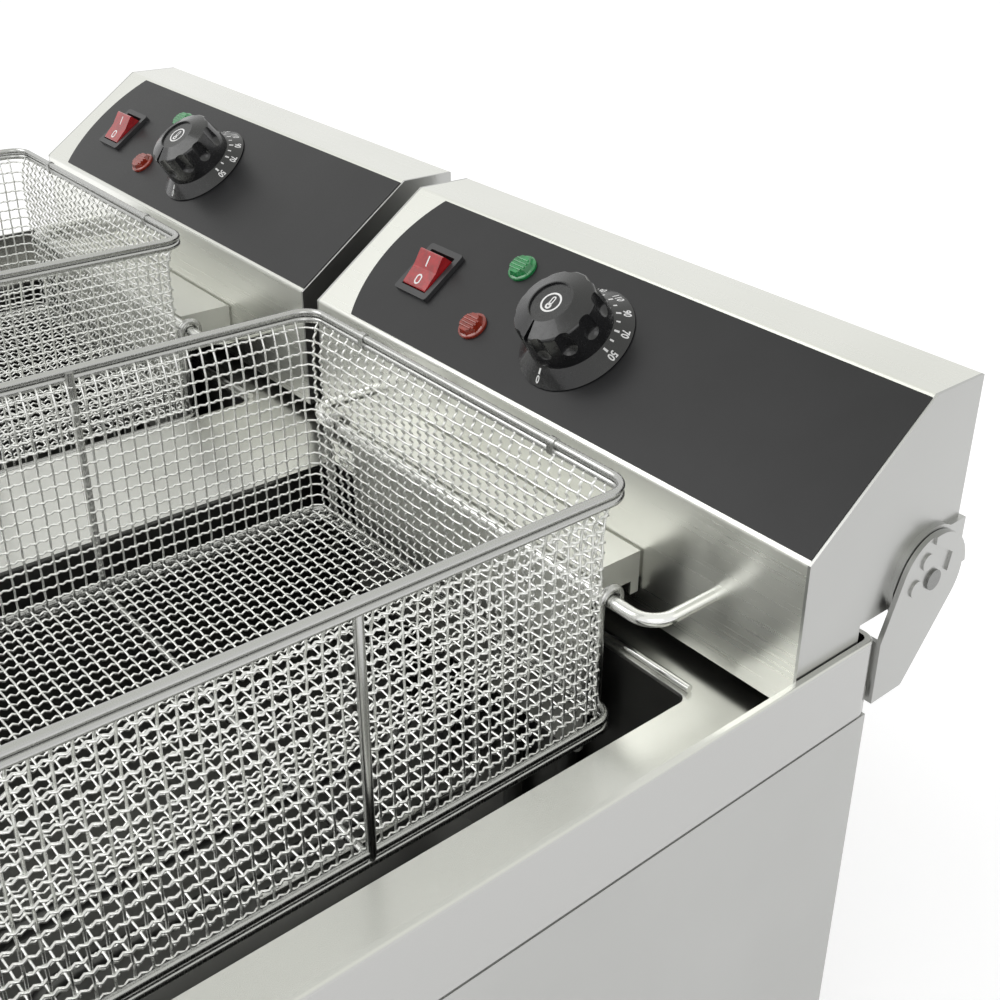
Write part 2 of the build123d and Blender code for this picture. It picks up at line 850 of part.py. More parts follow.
def make_heating_element(centre_x):
    leg_y = head_y - element_setback
    leg_z = head_z + element_height
    tail_y = head_y + element_tail
    hairpins = (
        (element_leg_outer, element_length, element_turn_outer),
        (element_leg_inner, element_length - element_nest, element_turn_inner),
    )
    with BuildPart() as element:
        for leg_x, length, turn in hairpins:
            front_y = leg_y - length
            left_x = centre_x - leg_x
            right_x = centre_x + leg_x
            points = (
                (left_x, tail_y, leg_z),
                (left_x, leg_y, leg_z),
                (left_x, leg_y, element_z),
                (left_x, front_y, element_z),
                (right_x, front_y, element_z),
                (right_x, leg_y, element_z),
                (right_x, leg_y, leg_z),
                (right_x, tail_y, leg_z),
            )
            bends = (element_bend, element_bend, turn, turn, element_bend, element_bend)
            add_tube(points, bends, element_radius)
        with BuildSketch(front_plane(centre_x)):
            with Locations((0, element_height)):
                Rectangle(2 * element_plate_half, element_plate_height)
                Circle(bulb_radius + element_hole_clearance, mode=Mode.SUBTRACT)
        extrude(amount=element_plate_thickness)
    return element


def make_sensor_bulb(centre_x):
    drop_y = head_y - element_setback
    start_z = head_z + element_height
    low_z = element_z + bulb_rise
    points = (
        (centre_x, head_y + element_tail, start_z),
        (centre_x, drop_y, start_z),
        (centre_x, drop_y, low_z),
        (centre_x, drop_y - bulb_length, low_z),
    )
    with BuildPart() as bulb:
        add_tube(points, bulb_bend, bulb_radius)
    return bulb


def make_hanger_bar(centre_x):
    left_x = centre_x - bar_half_width
    right_x = centre_x + bar_half_width
    with BuildPart() as bar:
        add_tube(
            (
                (left_x, head_y, bar_z),
                (left_x, bar_y, bar_z),
                (right_x, bar_y, bar_z),
                (right_x, head_y, bar_z),
            ),
            bar_bend,
            bar_radius,
        )
    return bar


# Basket


def add_ring(centre_x, z, overhang=0.0):
    """One closed round-wire ring of the basket, wider than the basket by an overhang on every side."""
    width = basket_width + 2 * overhang
    with BuildSketch(Plane.XY.offset(z)) as outline:
        with Locations((centre_x, basket_mid_y)):
            RectangleRounded(width, basket_depth + 2 * overhang, basket_corner_radius + overhang)
    ring = outline.sketch.face().outer_wire()
    start = Plane(origin=(centre_x + width / 2, basket_mid_y, z), z_dir=(0, 1, 0))
    with BuildSketch(start) as section:
        Circle(rim_wire_radius)
    sweep(sections=section.sketch, path=ring)


def make_basket_frame(centre_x):
    half_width = basket_width / 2
    support_y = basket_rear_y - support_setback
    rear_leg_y = bar_y + bar_radius + hang_clearance + support_wire_radius
    hook_top_z = bar_z + bar_radius + hang_clearance + support_wire_radius
    hook_bend = (rear_leg_y - basket_rear_y - hook_flat) / 2
    tip_z = bar_z - hook_tip_drop
    prong_y = basket_front_y - handle_reach + grip_length
    with BuildPart() as frame:
        for z in (basket_top_z, basket_top_z - rim_wire_pitch):
            add_ring(centre_x, z, rim_overhang)
        for z in (basket_base_z + base_wire_pitch, basket_base_z):
            add_ring(centre_x, z)
        left_x = centre_x - half_width
        right_x = centre_x + half_width
        add_tube(
            (
                (left_x, support_y, basket_top_z),
                (left_x, support_y, basket_base_z),
                (right_x, support_y, basket_base_z),
                (right_x, support_y, basket_top_z),
            ),
            support_bend,
            support_wire_radius,
        )
        for x in (centre_x - hook_half_spacing, centre_x + hook_half_spacing):
            add_tube(
                (
                    (x, basket_rear_y, basket_base_z),
                    (x, basket_rear_y, hook_top_z),
                    (x, rear_leg_y, hook_top_z),
                    (x, rear_leg_y, tip_z),
                ),
                hook_bend,
                support_wire_radius,
            )
        for x in (centre_x - handle_half_spacing, centre_x + handle_half_spacing):
            add_tube(
                (
                    (x, basket_front_y, basket_base_z),
                    (x, basket_front_y, basket_top_z),
                    (x, basket_front_y - handle_run, handle_z),
                    (x, prong_y - prong_depth, handle_z),
                ),
                handle_bend,
                handle_wire_radius,
            )
    return frame


def make_basket_mesh(centre_x):
    inset = max(rim_wire_radius, support_wire_radius, handle_wire_radius) + mesh_gap
    outer_width = basket_width - 2 * inset
    outer_depth = basket_depth - 2 * inset
    outer_radius = basket_corner_radius - inset
    flat_width = outer_width - 2 * outer_radius
    flat_depth = outer_depth - 2 * outer_radius
    low_z = basket_base_z + base_wire_pitch + support_wire_radius + mesh_gap
    high_z = basket_top_z
    wall_height = high_z - low_z
    middle_z = (low_z + high_z) / 2
    with BuildPart() as mesh:
        for side in (-1, 1):
            wall_y = basket_mid_y + side * outer_depth / 2
            wall_plane = Plane(origin=(centre_x, wall_y, middle_z), x_dir=(1, 0, 0), z_dir=(0, -side, 0))
            with BuildSketch(wall_plane):
                add_net(flat_width - 2 * mesh_gap, wall_height)
            extrude(amount=mesh_thickness)
            wall_x = centre_x + side * outer_width / 2
            end_plane = Plane(origin=(wall_x, basket_mid_y, middle_z), x_dir=(0, 1, 0), z_dir=(-side, 0, 0))
            with BuildSketch(end_plane):
                add_net(flat_depth - 2 * mesh_gap, wall_height)
            extrude(amount=mesh_thickness)
        wall_inset = mesh_thickness + mesh_gap
        with BuildSketch(Plane.XY.offset(low_z)):
            with Locations((centre_x, basket_mid_y)):
                add_net(outer_width - 2 * wall_inset, outer_depth - 2 * wall_inset, outer_radius - wall_inset)
        extrude(amount=mesh_thickness)
        with BuildSketch(Plane.XY.offset(low_z)):
            with Locations((centre_x, basket_mid_y)):
                RectangleRounded(outer_width, outer_depth, outer_radius)
                inner_radius = outer_radius - mesh_thickness
                inner_width = outer_width - 2 * mesh_thickness
                inner_depth = outer_depth - 2 * mesh_thickness
                RectangleRounded(inner_width, inner_depth, inner_radius, mode=Mode.SUBTRACT)
                Rectangle(flat_width, outer_depth, mode=Mode.SUBTRACT)
                Rectangle(outer_width, flat_depth, mode=Mode.SUBTRACT)
        extrude(amount=wall_height)
    return mesh


def add_net(width, height, corner=0.0):
    """One holed face: a rectangle with an even grid of square gaps."""
    columns = max(2, round((width - 2 * corner) / mesh_pitch))
    rows = max(2, round((height - 2 * corner) / mesh_pitch))
    pitch_x = (width - 2 * corner - mesh_wire) / columns
    pitch_y = (height - 2 * corner - mesh_wire) / rows
    if corner:
        RectangleRounded(width, height, corner)
    else:
        Rectangle(width, height)
    with GridLocations(pitch_x, pitch_y, columns, rows):
        Rectangle(pitch_x - mesh_wire, pitch_y - mesh_wire, mode=Mode.SUBTRACT)


def make_basket_grip(centre_x):
    tip_y = basket_front_y - handle_reach
    with BuildPart() as grip:
        with BuildSketch(Plane(origin=(centre_x, tip_y, handle_z), x_dir=(-1, 0, 0), z_dir=(0, 1, 0))):
            RectangleRounded(grip_width, grip_height, grip_round)
        extrude(amount=grip_length)
        root = (centre_x, tip_y + grip_length, handle_z)
        with BuildSketch(Plane(origin=root, x_dir=(1, 0, 0), z_dir=(0, -1, 0))):
            with Locations((-handle_half_spacing, 0), (handle_half_spacing, 0)):
                Circle(handle_wire_radius + grip_bore_clearance)
        extrude(amount=prong_depth, mode=Mode.SUBTRACT)
    return grip


# Hinge


def hinge_sides(centre_x):
    """Outer faces of a head's two side plates, each with its outward direction."""
    return ((centre_x - head_width / 2, -1), (centre_x + head_width / 2, 1))


def bracket_screw_spots():
    """Screw places on the deck's rear skirt, as (x, z)."""
    screw_z = deck_under_z - bracket_screw_drop
    spots = []
    for centre_x in side_centres.values():
        for face_x, side in hinge_sides(centre_x):
            x = face_x - side * bracket_screw_inset
            spots += [(x - bracket_screw_spacing / 2, screw_z), (x + bracket_screw_spacing / 2, screw_z)]
    return spots


def make_hinge_brackets():
    foot_height_z = bracket_foot_high - bracket_foot_low
    foot_y = body_rear_y - head_y
    with BuildPart() as brackets:
        for centre_x in side_centres.values():
            for face_x, side in hinge_sides(centre_x):
                plate_x = face_x + side * (ear_thickness + hinge_clearance)
                plate_plane = Plane(origin=(plate_x, head_y, head_z), x_dir=(0, 1, 0), z_dir=(1, 0, 0))
                with BuildSketch(plate_plane):
                    with Locations((pivot_depth, pivot_height)):
                        Circle(bracket_radius)
                    with Locations((foot_y, bracket_foot_low)):
                        Rectangle(bracket_foot_depth, foot_height_z, align=Align.MIN)
                    make_hull()
                    with Locations((pivot_depth, pivot_height)):
                        Circle(pin_radius + pin_clearance, mode=Mode.SUBTRACT)
                extrude(amount=side * bracket_thickness)
                with BuildSketch(plate_plane.offset(side * bracket_thickness)):
                    with Locations(*[(pivot_depth + y, pivot_height + z) for y, z in bracket_bosses]):
                        Circle(bracket_boss_radius)
                extrude(amount=side * bracket_boss_height)
                with BuildSketch(plate_plane.offset(side * bracket_thickness)):
                    with BuildLine():
                        Polyline(*[(pivot_depth + y, pivot_height + z) for y, z in bracket_pad], close=True)
                    make_face()
                    with Locations((pivot_depth, pivot_height)):
                        Circle(bracket_radius, mode=Mode.INTERSECT)
                extrude(amount=side * bracket_pad_height)
                flange_x = plate_x + side * bracket_thickness - side * bracket_flange_width / 2
                flange_spot = (flange_x, body_rear_y, head_z)
                with BuildSketch(Plane(origin=flange_spot, x_dir=(-1, 0, 0), z_dir=(0, 1, 0))):
                    with Locations((0, bracket_foot_low)):
                        Rectangle(bracket_flange_width, foot_height_z, align=low_align)
                extrude(amount=bracket_thickness)
        with BuildSketch(Plane.XZ.offset(-body_rear_y - bracket_thickness)):
            with Locations(*bracket_screw_spots()):
                Circle(screw_radius + screw_clearance)
        extrude(amount=bracket_thickness, mode=Mode.SUBTRACT)
    return brackets


def make_bracket_screws():
    seat_y = body_rear_y + bracket_thickness
    with BuildPart() as screws:
        with BuildSketch(Plane.XZ.offset(-seat_y)):
            with Locations(*bracket_screw_spots()):
                Circle(screw_head_radius)
        extrude(amount=-screw_head_height)
        with BuildSketch(Plane.XZ.offset(-seat_y)):
            with Locations(*bracket_screw_spots()):
                Circle(screw_radius)
        extrude(amount=screw_length)
    return screws


def make_hinge_pins():
    with BuildPart() as pins:
        for centre_x in side_centres.values():
            for face_x, side in hinge_sides(centre_x):
                inner_x = face_x - side * 2 * head_sheet
                head_x = face_x + side * (ear_thickness + hinge_clearance + bracket_thickness)
                pin_length = abs(head_x - inner_x)
                with BuildSketch(Plane.YZ.offset(inner_x)):
                    with Locations((pivot_y, pivot_z)):
                        Circle(pin_radius)
                extrude(amount=side * pin_length)
                with BuildSketch(Plane.YZ.offset(head_x)):
                    with Locations((pivot_y, pivot_z)):
                        Circle(pin_head_radius)
                extrude(amount=side * pin_head_height)
    return pins


def make_hinge_ears(centre_x):
    flange_height = ear_flange_high - ear_flange_low
    with BuildPart() as ears:
        for face_x, side in hinge_sides(centre_x):
            with BuildSketch(Plane(origin=(face_x, head_y, head_z), x_dir=(0, 1, 0), z_dir=(1, 0, 0))):
                with Locations((pivot_depth, pivot_height)):
                    Circle(ear_radius)
                with Locations((head_depth + ear_thickness, ear_flange_low)):
                    Rectangle(ear_radius, flange_height, align=(Align.MAX, Align.MIN))
                with Locations((head_depth + ear_thickness, ear_flange_low)):
                    Rectangle(ear_radius, head_height, align=(Align.MIN, Align.CENTER), mode=Mode.SUBTRACT)
                with Locations((pivot_depth, pivot_height)):
                    Circle(pin_radius + pin_clearance, mode=Mode.SUBTRACT)
            extrude(amount=side * ear_thickness)
            flange_x = face_x + side * ear_thickness - side * ear_flange_width / 2
            with BuildSketch(back_plane(flange_x)):
                with Locations((0, ear_flange_low)):
                    Rectangle(ear_flange_width, flange_height, align=low_align)
            extrude(amount=ear_thickness)
    return ears


# Drain taps


def make_drain_taps():
    valve_front_y = valve_y - valve_length / 2
    pipe_length = tank_front_y - tank_wall - valve_y
    spout_y = valve_front_y + spout_setback
    with BuildPart() as taps:
        for x in side_centres.values():
            with BuildSketch(Plane.XZ.offset(-valve_y)):
                with Locations((x, tap_z)):
                    Circle(pipe_radius)
            extrude(amount=-pipe_length)
            with BuildSketch(Plane.XZ.offset(-casing_front_y)):
                with Locations((x, tap_z)):
                    Circle(rosette_radius)
            extrude(amount=rosette_thickness)
            with BuildSketch(Plane.XZ.offset(-valve_front_y)):
                with Locations((x, tap_z)):
                    Circle(valve_radius)
            extrude(amount=-valve_length)
            with BuildSketch(Plane.XY.offset(tap_z)):
                with Locations((x, spout_y)):
                    Circle(spout_radius)
            extrude(amount=-spout_drop)
            with BuildSketch(Plane.XY.offset(tap_z)):
                with Locations((x, valve_y)):
                    Circle(stem_radius)
            extrude(amount=valve_radius + stem_height)
            with BuildSketch(Plane.XZ.offset(-spout_y)):
                with Locations((x, tap_z)):
                    Circle(pipe_bore)
            extrude(amount=-(tank_front_y - tank_wall - spout_y), mode=Mode.SUBTRACT)
            with BuildSketch(Plane.XY.offset(tap_z)):
                with Locations((x, spout_y)):
                    Circle(pipe_bore)
            extrude(amount=-spout_drop, mode=Mode.SUBTRACT)
    return taps


def make_tap_lever(centre_x):
    hub_z = tap_z + valve_radius + lever_gap
    with BuildPart() as lever:
        with BuildSketch(Plane.XY.offset(hub_z)):
            with Locations((centre_x, valve_y)):
                Circle(lever_hub_radius)
        extrude(amount=lever_hub_height)
        with BuildSketch(Plane.XY.offset(hub_z + lever_hub_height - lever_thickness)):
            with Locations((centre_x, valve_y)):
                SlotCenterPoint((lever_length / 2, 0), (lever_length, 0), lever_width)
        extrude(amount=lever_thickness)
        with BuildSketch(Plane.XY.offset(hub_z)):
            with Locations((centre_x, valve_y)):
                Circle(stem_radius + shaft_clearance)
        extrude(amount=lever_hub_height, mode=Mode.SUBTRACT)
    return lever


os.makedirs("parts", exist_ok=True)

common_pieces = {
    "casing": make_casing,
    "base_plate": make_base_plate,
    "feet": make_feet,
    "top_deck": make_top_deck,
    "edge_rods": make_edge_rods,
    "hinge_brackets": make_hinge_brackets,
    "bracket_screws": make_bracket_screws,
    "hinge_pins": make_hinge_pins,
    "drain_taps": make_drain_taps,
}
for label, make in common_pieces.items():
    save(make(), label)

side_pieces = {
    "tank": make_tank,
    "head_shell": make_head_shell,
    "head_side_plates": make_side_plates,
    "head_floor": make_head_floor,
    "head_back_panel": make_back_panel,
    "panel_overlay": make_overlay,
    "switch_body": make_switch_body,
    "rocker": make_rocker,
    "thermostat": make_thermostat,
    "knob": make_knob,
    "cable_gland": make_cable_gland,
    "limit_thermostat": make_limiter,
    "terminal_block": make_terminal_block,
    "element_cover": make_element_cover,
    "heating_element": make_heating_element,
    "sensor_bulb": make_sensor_bulb,
    "hanger_bar": make_hanger_bar,
    "hinge_ears": make_hinge_ears,
    "basket_frame": make_basket_frame,
    "basket_mesh": make_basket_mesh,
    "basket_grip": make_basket_grip,
    "tap_lever": make_tap_lever,
}
for side_name, side_x in side_centres.items():
    for label, make in side_pieces.items():
        save(make(side_x), f"{side_name}_{label}")
    save(make_lamp(side_x, green_lamp_y), f"{side_name}_green_lamp")
    save(make_lamp(side_x, red_lamp_y), f"{side_name}_red_lamp")
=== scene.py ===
"""Looks of a twin-well table-top deep fryer: woven baskets, steel, black panels and their controls.

Frame: X to the right, Y to the rear, Z up, in metres, with the origin on the floor.
"""
import json
from math import ceil, cos, pi, radians, sin

import bpy
import numpy as np
from mathutils import Matrix, Vector


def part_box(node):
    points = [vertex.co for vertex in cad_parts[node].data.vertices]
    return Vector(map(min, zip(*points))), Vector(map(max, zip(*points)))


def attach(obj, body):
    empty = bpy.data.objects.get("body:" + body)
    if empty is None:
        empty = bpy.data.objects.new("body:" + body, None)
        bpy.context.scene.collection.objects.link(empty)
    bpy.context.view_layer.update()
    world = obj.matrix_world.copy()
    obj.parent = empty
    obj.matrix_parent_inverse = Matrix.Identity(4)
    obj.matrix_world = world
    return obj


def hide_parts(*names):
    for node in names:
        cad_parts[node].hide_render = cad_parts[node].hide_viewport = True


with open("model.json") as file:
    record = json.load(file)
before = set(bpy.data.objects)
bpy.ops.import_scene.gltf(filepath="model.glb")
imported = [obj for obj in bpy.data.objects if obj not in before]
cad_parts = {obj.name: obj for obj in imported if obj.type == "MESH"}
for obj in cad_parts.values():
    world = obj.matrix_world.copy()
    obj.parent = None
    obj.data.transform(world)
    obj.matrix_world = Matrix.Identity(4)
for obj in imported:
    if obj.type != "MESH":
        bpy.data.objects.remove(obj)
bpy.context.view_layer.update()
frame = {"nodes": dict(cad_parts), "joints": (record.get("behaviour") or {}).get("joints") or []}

MM = 0.001
nodes = frame["nodes"]
joints = {joint["name"]: joint for joint in frame["joints"]}
sides = ("left", "right")
white = (1.0, 1.0, 1.0, 1.0)

# Camera, solved from the corners of the heads in the photograph
# Its place is measured from the right head's front lower right corner
camera_offset = Vector((0.21345, -0.29896, 0.28703))
camera_yaw = radians(45.6)
camera_pitch = radians(27.06)
camera_roll = radians(2.75)
camera_lens = 47.04
camera_sensor = 36.0
camera_shift = (-0.1194, -0.0592)
camera_clip = 10.0 * MM

# World and floor; the ceiling's start and full height are upward shares of a view direction
ambient_level = 0.72
horizon_colour = white
ceiling_colour = (0.95, 0.96, 0.91, 1.0)
ceiling_start = 0.15
ceiling_full = 0.95
floor_size = 8.0
floor_colour = (0.92, 0.92, 0.92)
floor_roughness = 0.9
floor_glow = 0.34

# Studio lights: place, width and power
light_aim = Vector((0.0, 0.0, 0.2))
studio_lights = {
    "key": ((-1.1, -1.2, 1.9), 1.8, 18.0),
    "fill": ((1.9, -0.9, 1.3), 1.6, 6.0),
}

# Noise in the materials lies mostly between these values
noise_low = 0.3
noise_high = 0.7

# Upward share of a face's normal, on a standing face at most and on a level one at least, for painted
# shade on standing faces
standing_share = 0.3
level_share = 0.9

# Brushed steel
brush_scale = 1400.0
brush_stretch = 0.006
brush_detail = 4.0
brush_depth = 0.3 * MM
steel_cloud = 9.0
steel_dark = 0.96
steel_light = 1.03
steel_green = 0.005

# Moulded plastic
plastic_cloud = 40.0
plastic_dark = 0.88
plastic_light = 1.1
speckle_smooth = 0.05
speckle_rough = 0.06
speckle_depth = 0.2 * MM

# Translucent plastic, with a painted glow
lit_roughness = 0.16
lit_coat = 0.7
lit_cloud = 300.0
lit_dark = 0.7
lit_light = 1.2

# Tank steel, plain at its foot and darkened with painted shade from its shoulder up, with less painted
# shade behind its rear line
tank_foot = 75.0 * MM
tank_shoulder = 150.0 * MM
tank_rear = 150.0 * MM
tank_rear_blend = 1.0 * MM
tank_rear_shade_share = 0.45
tank_mean = (0.2, 0.2, 0.2)
tank_foot_tone = (0.36, 0.36, 0.35)
tank_wall_shade = (0.14, 0.14, 0.135)
tank_roughness = 0.36
tank_spread = 0.06
tank_grain = 60.0

# Woven basket wire
weave_pitch = 5.4 * MM
weave_radius = 0.5 * MM
weave_crimp = 0.62 * MM
weave_counter = 0.24 * MM
weave_inset = 1.2 * MM
weave_corner = 4.2 * MM
weave_flare = 3.5 * MM
flare_height = 16.0 * MM
weave_skirt = 5.5 * MM
crimp_half_waves = 3
wire_facets = 6
crimp_steps = 6
counter_steps = 2

# Rim wires and their clips
rim_wire_radius = 1.5 * MM
rim_wire_pitch = 3.2 * MM
clip_spacing = 59.0 * MM
clip_width = 3.2 * MM
clip_sheet = 0.5 * MM
clip_steps = 20

# Plate in front of the element's legs, below the element cover and beside it
guard_sheet = 0.8 * MM
guard_reach = 9.5 * MM
guard_foot = 165.0 * MM
guard_corner = 6.0 * MM
guard_gap = 0.2 * MM
cover_tab_drop = 6.0 * MM
guard_steps = 8

# Print in general
print_lift = 0.06 * MM
print_weight = 0.09 * MM
slot_steps = 32

# Knob
knob_base_lift = 1.0 * MM
knob_skirt_lift = 6.0 * MM
knob_skirt_radius = 26.0 * MM
knob_grip_radius = 19.0 * MM
knob_cap_lift = 24.2 * MM

# Scale on the knob's skirt
dial_numbers = ("50", "70", "90", "110", "130", "150", "170", "190")
dial_start = radians(92.0)
dial_step = radians(-26.3)
dial_radius = 23.5 * MM
dial_size = 3.7 * MM
tick_inner = 19.8 * MM
tick_outer = 21.6 * MM
tick_half_width = 0.5 * MM
small_tick_outer = 21.2 * MM
small_tick_half_width = 0.42 * MM
zero_tick_outer = 21.9 * MM

# Thermometer sign on the knob's cap: middle, half height, half width and stroke of each outline
cap_sign = {
    "ring": (0.0, 4.8 * MM, 4.8 * MM, 0.85 * MM),
    "stem": (0.7 * MM, 2.3 * MM, 1.0 * MM, 0.55 * MM),
    "bulb": (-1.8 * MM, 1.5 * MM, 1.5 * MM, 0.85 * MM),
}

# Rocker, and its I and O from its pivot
rocker_tilt = radians(17.0)
rocker_upper = 8.4 * MM
rocker_lower = 9.6 * MM
rocker_centre_rise = 2.5 * MM
rocker_end_rise = 3.4 * MM
rocker_belly = 3.9 * MM
rocker_lip = 0.9 * MM
lip_steps = 6
bar_start = 1.2 * MM
bar_end = 6.2 * MM
bar_half_width = 0.45 * MM
ring_middle = -5.4 * MM
ring_half_height = 2.6 * MM
ring_half_width = 1.9 * MM
ring_stroke = 0.8 * MM

# Lamps, from the knob's axis on the panel
lamp_u = -53.0 * MM
lamp_spots = {"green": 19.0 * MM, "red": -15.0 * MM}
lamp_segments = 48
lamp_facets = 8
lamp_ribs = 4
rib_pitch = 1.75 * MM
rib_half_width = 0.5 * MM
rib_height = 0.45 * MM
rib_length_share = 0.94
rib_steps = 6

# Lens from its foot to its face: radius, lift, and whether the outline is faceted there
lens_profile = (
    (6.75 * MM, 0.45 * MM, False),
    (6.75 * MM, 1.5 * MM, False),
    (6.4 * MM, 1.8 * MM, False),
    (5.5 * MM, 2.0 * MM, True),
    (4.6 * MM, 4.1 * MM, True),
)


# Materials


def new_material(name, colour, roughness, metallic=0.0):
    material = bpy.data.materials.new(name)
    material.use_nodes = True
    shader = material.node_tree.nodes["Principled BSDF"]
    shader.inputs["Base Color"].default_value = (*colour, 1.0)
    shader.inputs["Roughness"].default_value = roughness
    shader.inputs["Metallic"].default_value = metallic
    return material, material.node_tree, shader


def add_noise(tree, scale, stretch=(1.0, 1.0, 1.0), detail=3.0):
    """Noise in the frame's own metres, stretched along each axis."""
    place = tree.nodes.new("ShaderNodeTexCoord")
    mapping = tree.nodes.new("ShaderNodeMapping")
    mapping.inputs["Scale"].default_value = stretch
    noise = tree.nodes.new("ShaderNodeTexNoise")
    noise.inputs["Scale"].default_value = scale
    noise.inputs["Detail"].default_value = detail
    tree.links.new(place.outputs["Object"], mapping.inputs["Vector"])
    tree.links.new(mapping.outputs["Vector"], noise.inputs["Vector"])
    return noise.outputs["Fac"]


def add_range(tree, value, low, high):
    """Spread a noise value over low to high."""
    node = tree.nodes.new("ShaderNodeMapRange")
    node.inputs["From Min"].default_value = noise_low
    node.inputs["From Max"].default_value = noise_high
    node.inputs["To Min"].default_value = low
    node.inputs["To Max"].default_value = high
    tree.links.new(value, node.inputs["Value"])
    return node.outputs["Result"]


def add_roughness(tree, shader, value, low, high):
    """Vary the roughness from low to high with a noise value."""
    tree.links.new(add_range(tree, value, low, high), shader.inputs["Roughness"])


def add_tint(tree, shader, value, dark, light):
    """Vary the base colour between two tones."""
    mix = tree.nodes.new("ShaderNodeMix")
    mix.data_type = "RGBA"
    mix.inputs["A"].default_value = (*dark, 1.0)
    mix.inputs["B"].default_value = (*light, 1.0)
    tree.links.new(value, mix.inputs["Factor"])
    tree.links.new(mix.outputs["Result"], shader.inputs["Base Color"])


def add_cloud(tree, shader, scale, dark, light):
    """Vary the base colour between two tones in soft patches."""
    add_tint(tree, shader, add_range(tree, add_noise(tree, scale), 0.0, 1.0), dark, light)


def add_bump(tree, shader, value, strength, distance):
    bump = tree.nodes.new("ShaderNodeBump")
    bump.inputs["Strength"].default_value = strength
    bump.inputs["Distance"].default_value = distance
    tree.links.new(value, bump.inputs["Height"])
    tree.links.new(bump.outputs["Normal"], shader.inputs["Normal"])


def add_standing_shade(tree, shader, colour):
    """Painted shade: keep the base colour on level faces and give standing ones another, darker colour."""
    geometry = tree.nodes.new("ShaderNodeNewGeometry")
    split = tree.nodes.new("ShaderNodeSeparateXYZ")
    tree.links.new(geometry.outputs["Normal"], split.inputs["Vector"])
    level = tree.nodes.new("ShaderNodeMapRange")
    level.inputs["From Min"].default_value = standing_share
    level.inputs["From Max"].default_value = level_share
    tree.links.new(split.outputs["Z"], level.inputs["Value"])
    mix = tree.nodes.new("ShaderNodeMix")
    mix.data_type = "RGBA"
    mix.inputs["A"].default_value = (*colour, 1.0)
    tree.links.new(shader.inputs["Base Color"].links[0].from_socket, mix.inputs["B"])
    tree.links.new(level.outputs["Result"], mix.inputs["Factor"])
    tree.links.new(mix.outputs["Result"], shader.inputs["Base Color"])


def brushed_steel(
    name, along, tone, roughness, spread=0.03, grain=0.03, stretched=0.0, warmth=0.02, standing=None
):
    """Steel brushed along one axis, with reflections stretched across it, a faint cloud of tone, and
    painted shade on standing faces when given.
    """
    material, tree, shader = new_material(name, (tone, tone, tone), roughness, 1.0)
    if stretched:
        shader.inputs["Anisotropic"].default_value = stretched
        tangent = tree.nodes.new("ShaderNodeTangent")
        tangent.direction_type = "RADIAL"
        tangent.axis = along
        tree.links.new(tangent.outputs["Tangent"], shader.inputs["Tangent"])
    stretch = [1.0, 1.0, 1.0]
    stretch["XYZ".index(along)] = brush_stretch
    streaks = add_noise(tree, brush_scale, stretch, brush_detail)
    dark = (tone * steel_dark, tone * (steel_dark + steel_green), tone * (steel_dark - warmth))
    light = (tone * steel_light, tone * (steel_light + steel_green), tone * (steel_light - warmth))
    add_cloud(tree, shader, steel_cloud, dark, light)
    # Painted shade on standing faces
    if standing:
        add_standing_shade(tree, shader, standing)
    add_roughness(tree, shader, streaks, roughness - spread, roughness + spread)
    add_bump(tree, shader, streaks, grain, brush_depth)
    return material


def plastic(name, colour, roughness, grain=900.0, bump=0.05, coat=0.0, gloss=0.5):
    """Moulded or printed plastic with a fine speckle and a faint cloud of tone."""
    material, tree, shader = new_material(name, colour, roughness)
    shader.inputs["Coat Weight"].default_value = coat
    shader.inputs["Specular IOR Level"].default_value = gloss
    speckle = add_noise(tree, grain)
    dark = tuple(plastic_dark * part for part in colour)
    light = tuple(min(1.0, plastic_light * part) for part in colour)
    add_cloud(tree, shader, plastic_cloud, dark, light)
    add_roughness(tree, shader, speckle, roughness - speckle_smooth, roughness + speckle_rough)
    add_bump(tree, shader, speckle, bump, speckle_depth)
    return material


def painted_glow_plastic(name, colour, glow):
    """Translucent coloured moulding with a little painted glow, standing in for light through the plastic.
    """
    material, tree, shader = new_material(name, colour, lit_roughness)
    shader.inputs["Coat Weight"].default_value = lit_coat
    # Painted glow
    shader.inputs["Emission Color"].default_value = (*colour, 1.0)
    shader.inputs["Emission Strength"].default_value = glow
    dark = tuple(lit_dark * part for part in colour)
    light = tuple(min(1.0, lit_light * part) for part in colour)
    add_cloud(tree, shader, lit_cloud, dark, light)
    return material


def tank_steel(name):
    """Plain steel on the floor of a tank, with painted shade darkening its walls from the shoulder up."""
    material, tree, shader = new_material(name, tank_mean, tank_roughness, 1.0)
    place = tree.nodes.new("ShaderNodeTexCoord")
    split = tree.nodes.new("ShaderNodeSeparateXYZ")
    tree.links.new(place.outputs["Object"], split.inputs["Vector"])
    height = tree.nodes.new("ShaderNodeMapRange")
    height.interpolation_type = "SMOOTHSTEP"
    height.inputs["From Min"].default_value = tank_foot
    height.inputs["From Max"].default_value = tank_shoulder
    tree.links.new(split.outputs["Z"], height.inputs["Value"])
    # Behind the rear line only part of the painted shade is kept, so the rear wall gets painted light
    rear_shade = tree.nodes.new("ShaderNodeMapRange")
    rear_shade.inputs["From Min"].default_value = tank_rear
    rear_shade.inputs["From Max"].default_value = tank_rear + tank_rear_blend
    rear_shade.inputs["To Min"].default_value = 1.0
    rear_shade.inputs["To Max"].default_value = tank_rear_shade_share
    tree.links.new(split.outputs["Y"], rear_shade.inputs["Value"])
    tree.links.new(rear_shade.outputs["Result"], height.inputs["To Max"])
    add_tint(tree, shader, height.outputs["Result"], tank_foot_tone, tank_wall_shade)
    grain = add_noise(tree, tank_grain)
    add_roughness(tree, shader, grain, tank_roughness - tank_spread, tank_roughness + tank_spread)
    return material


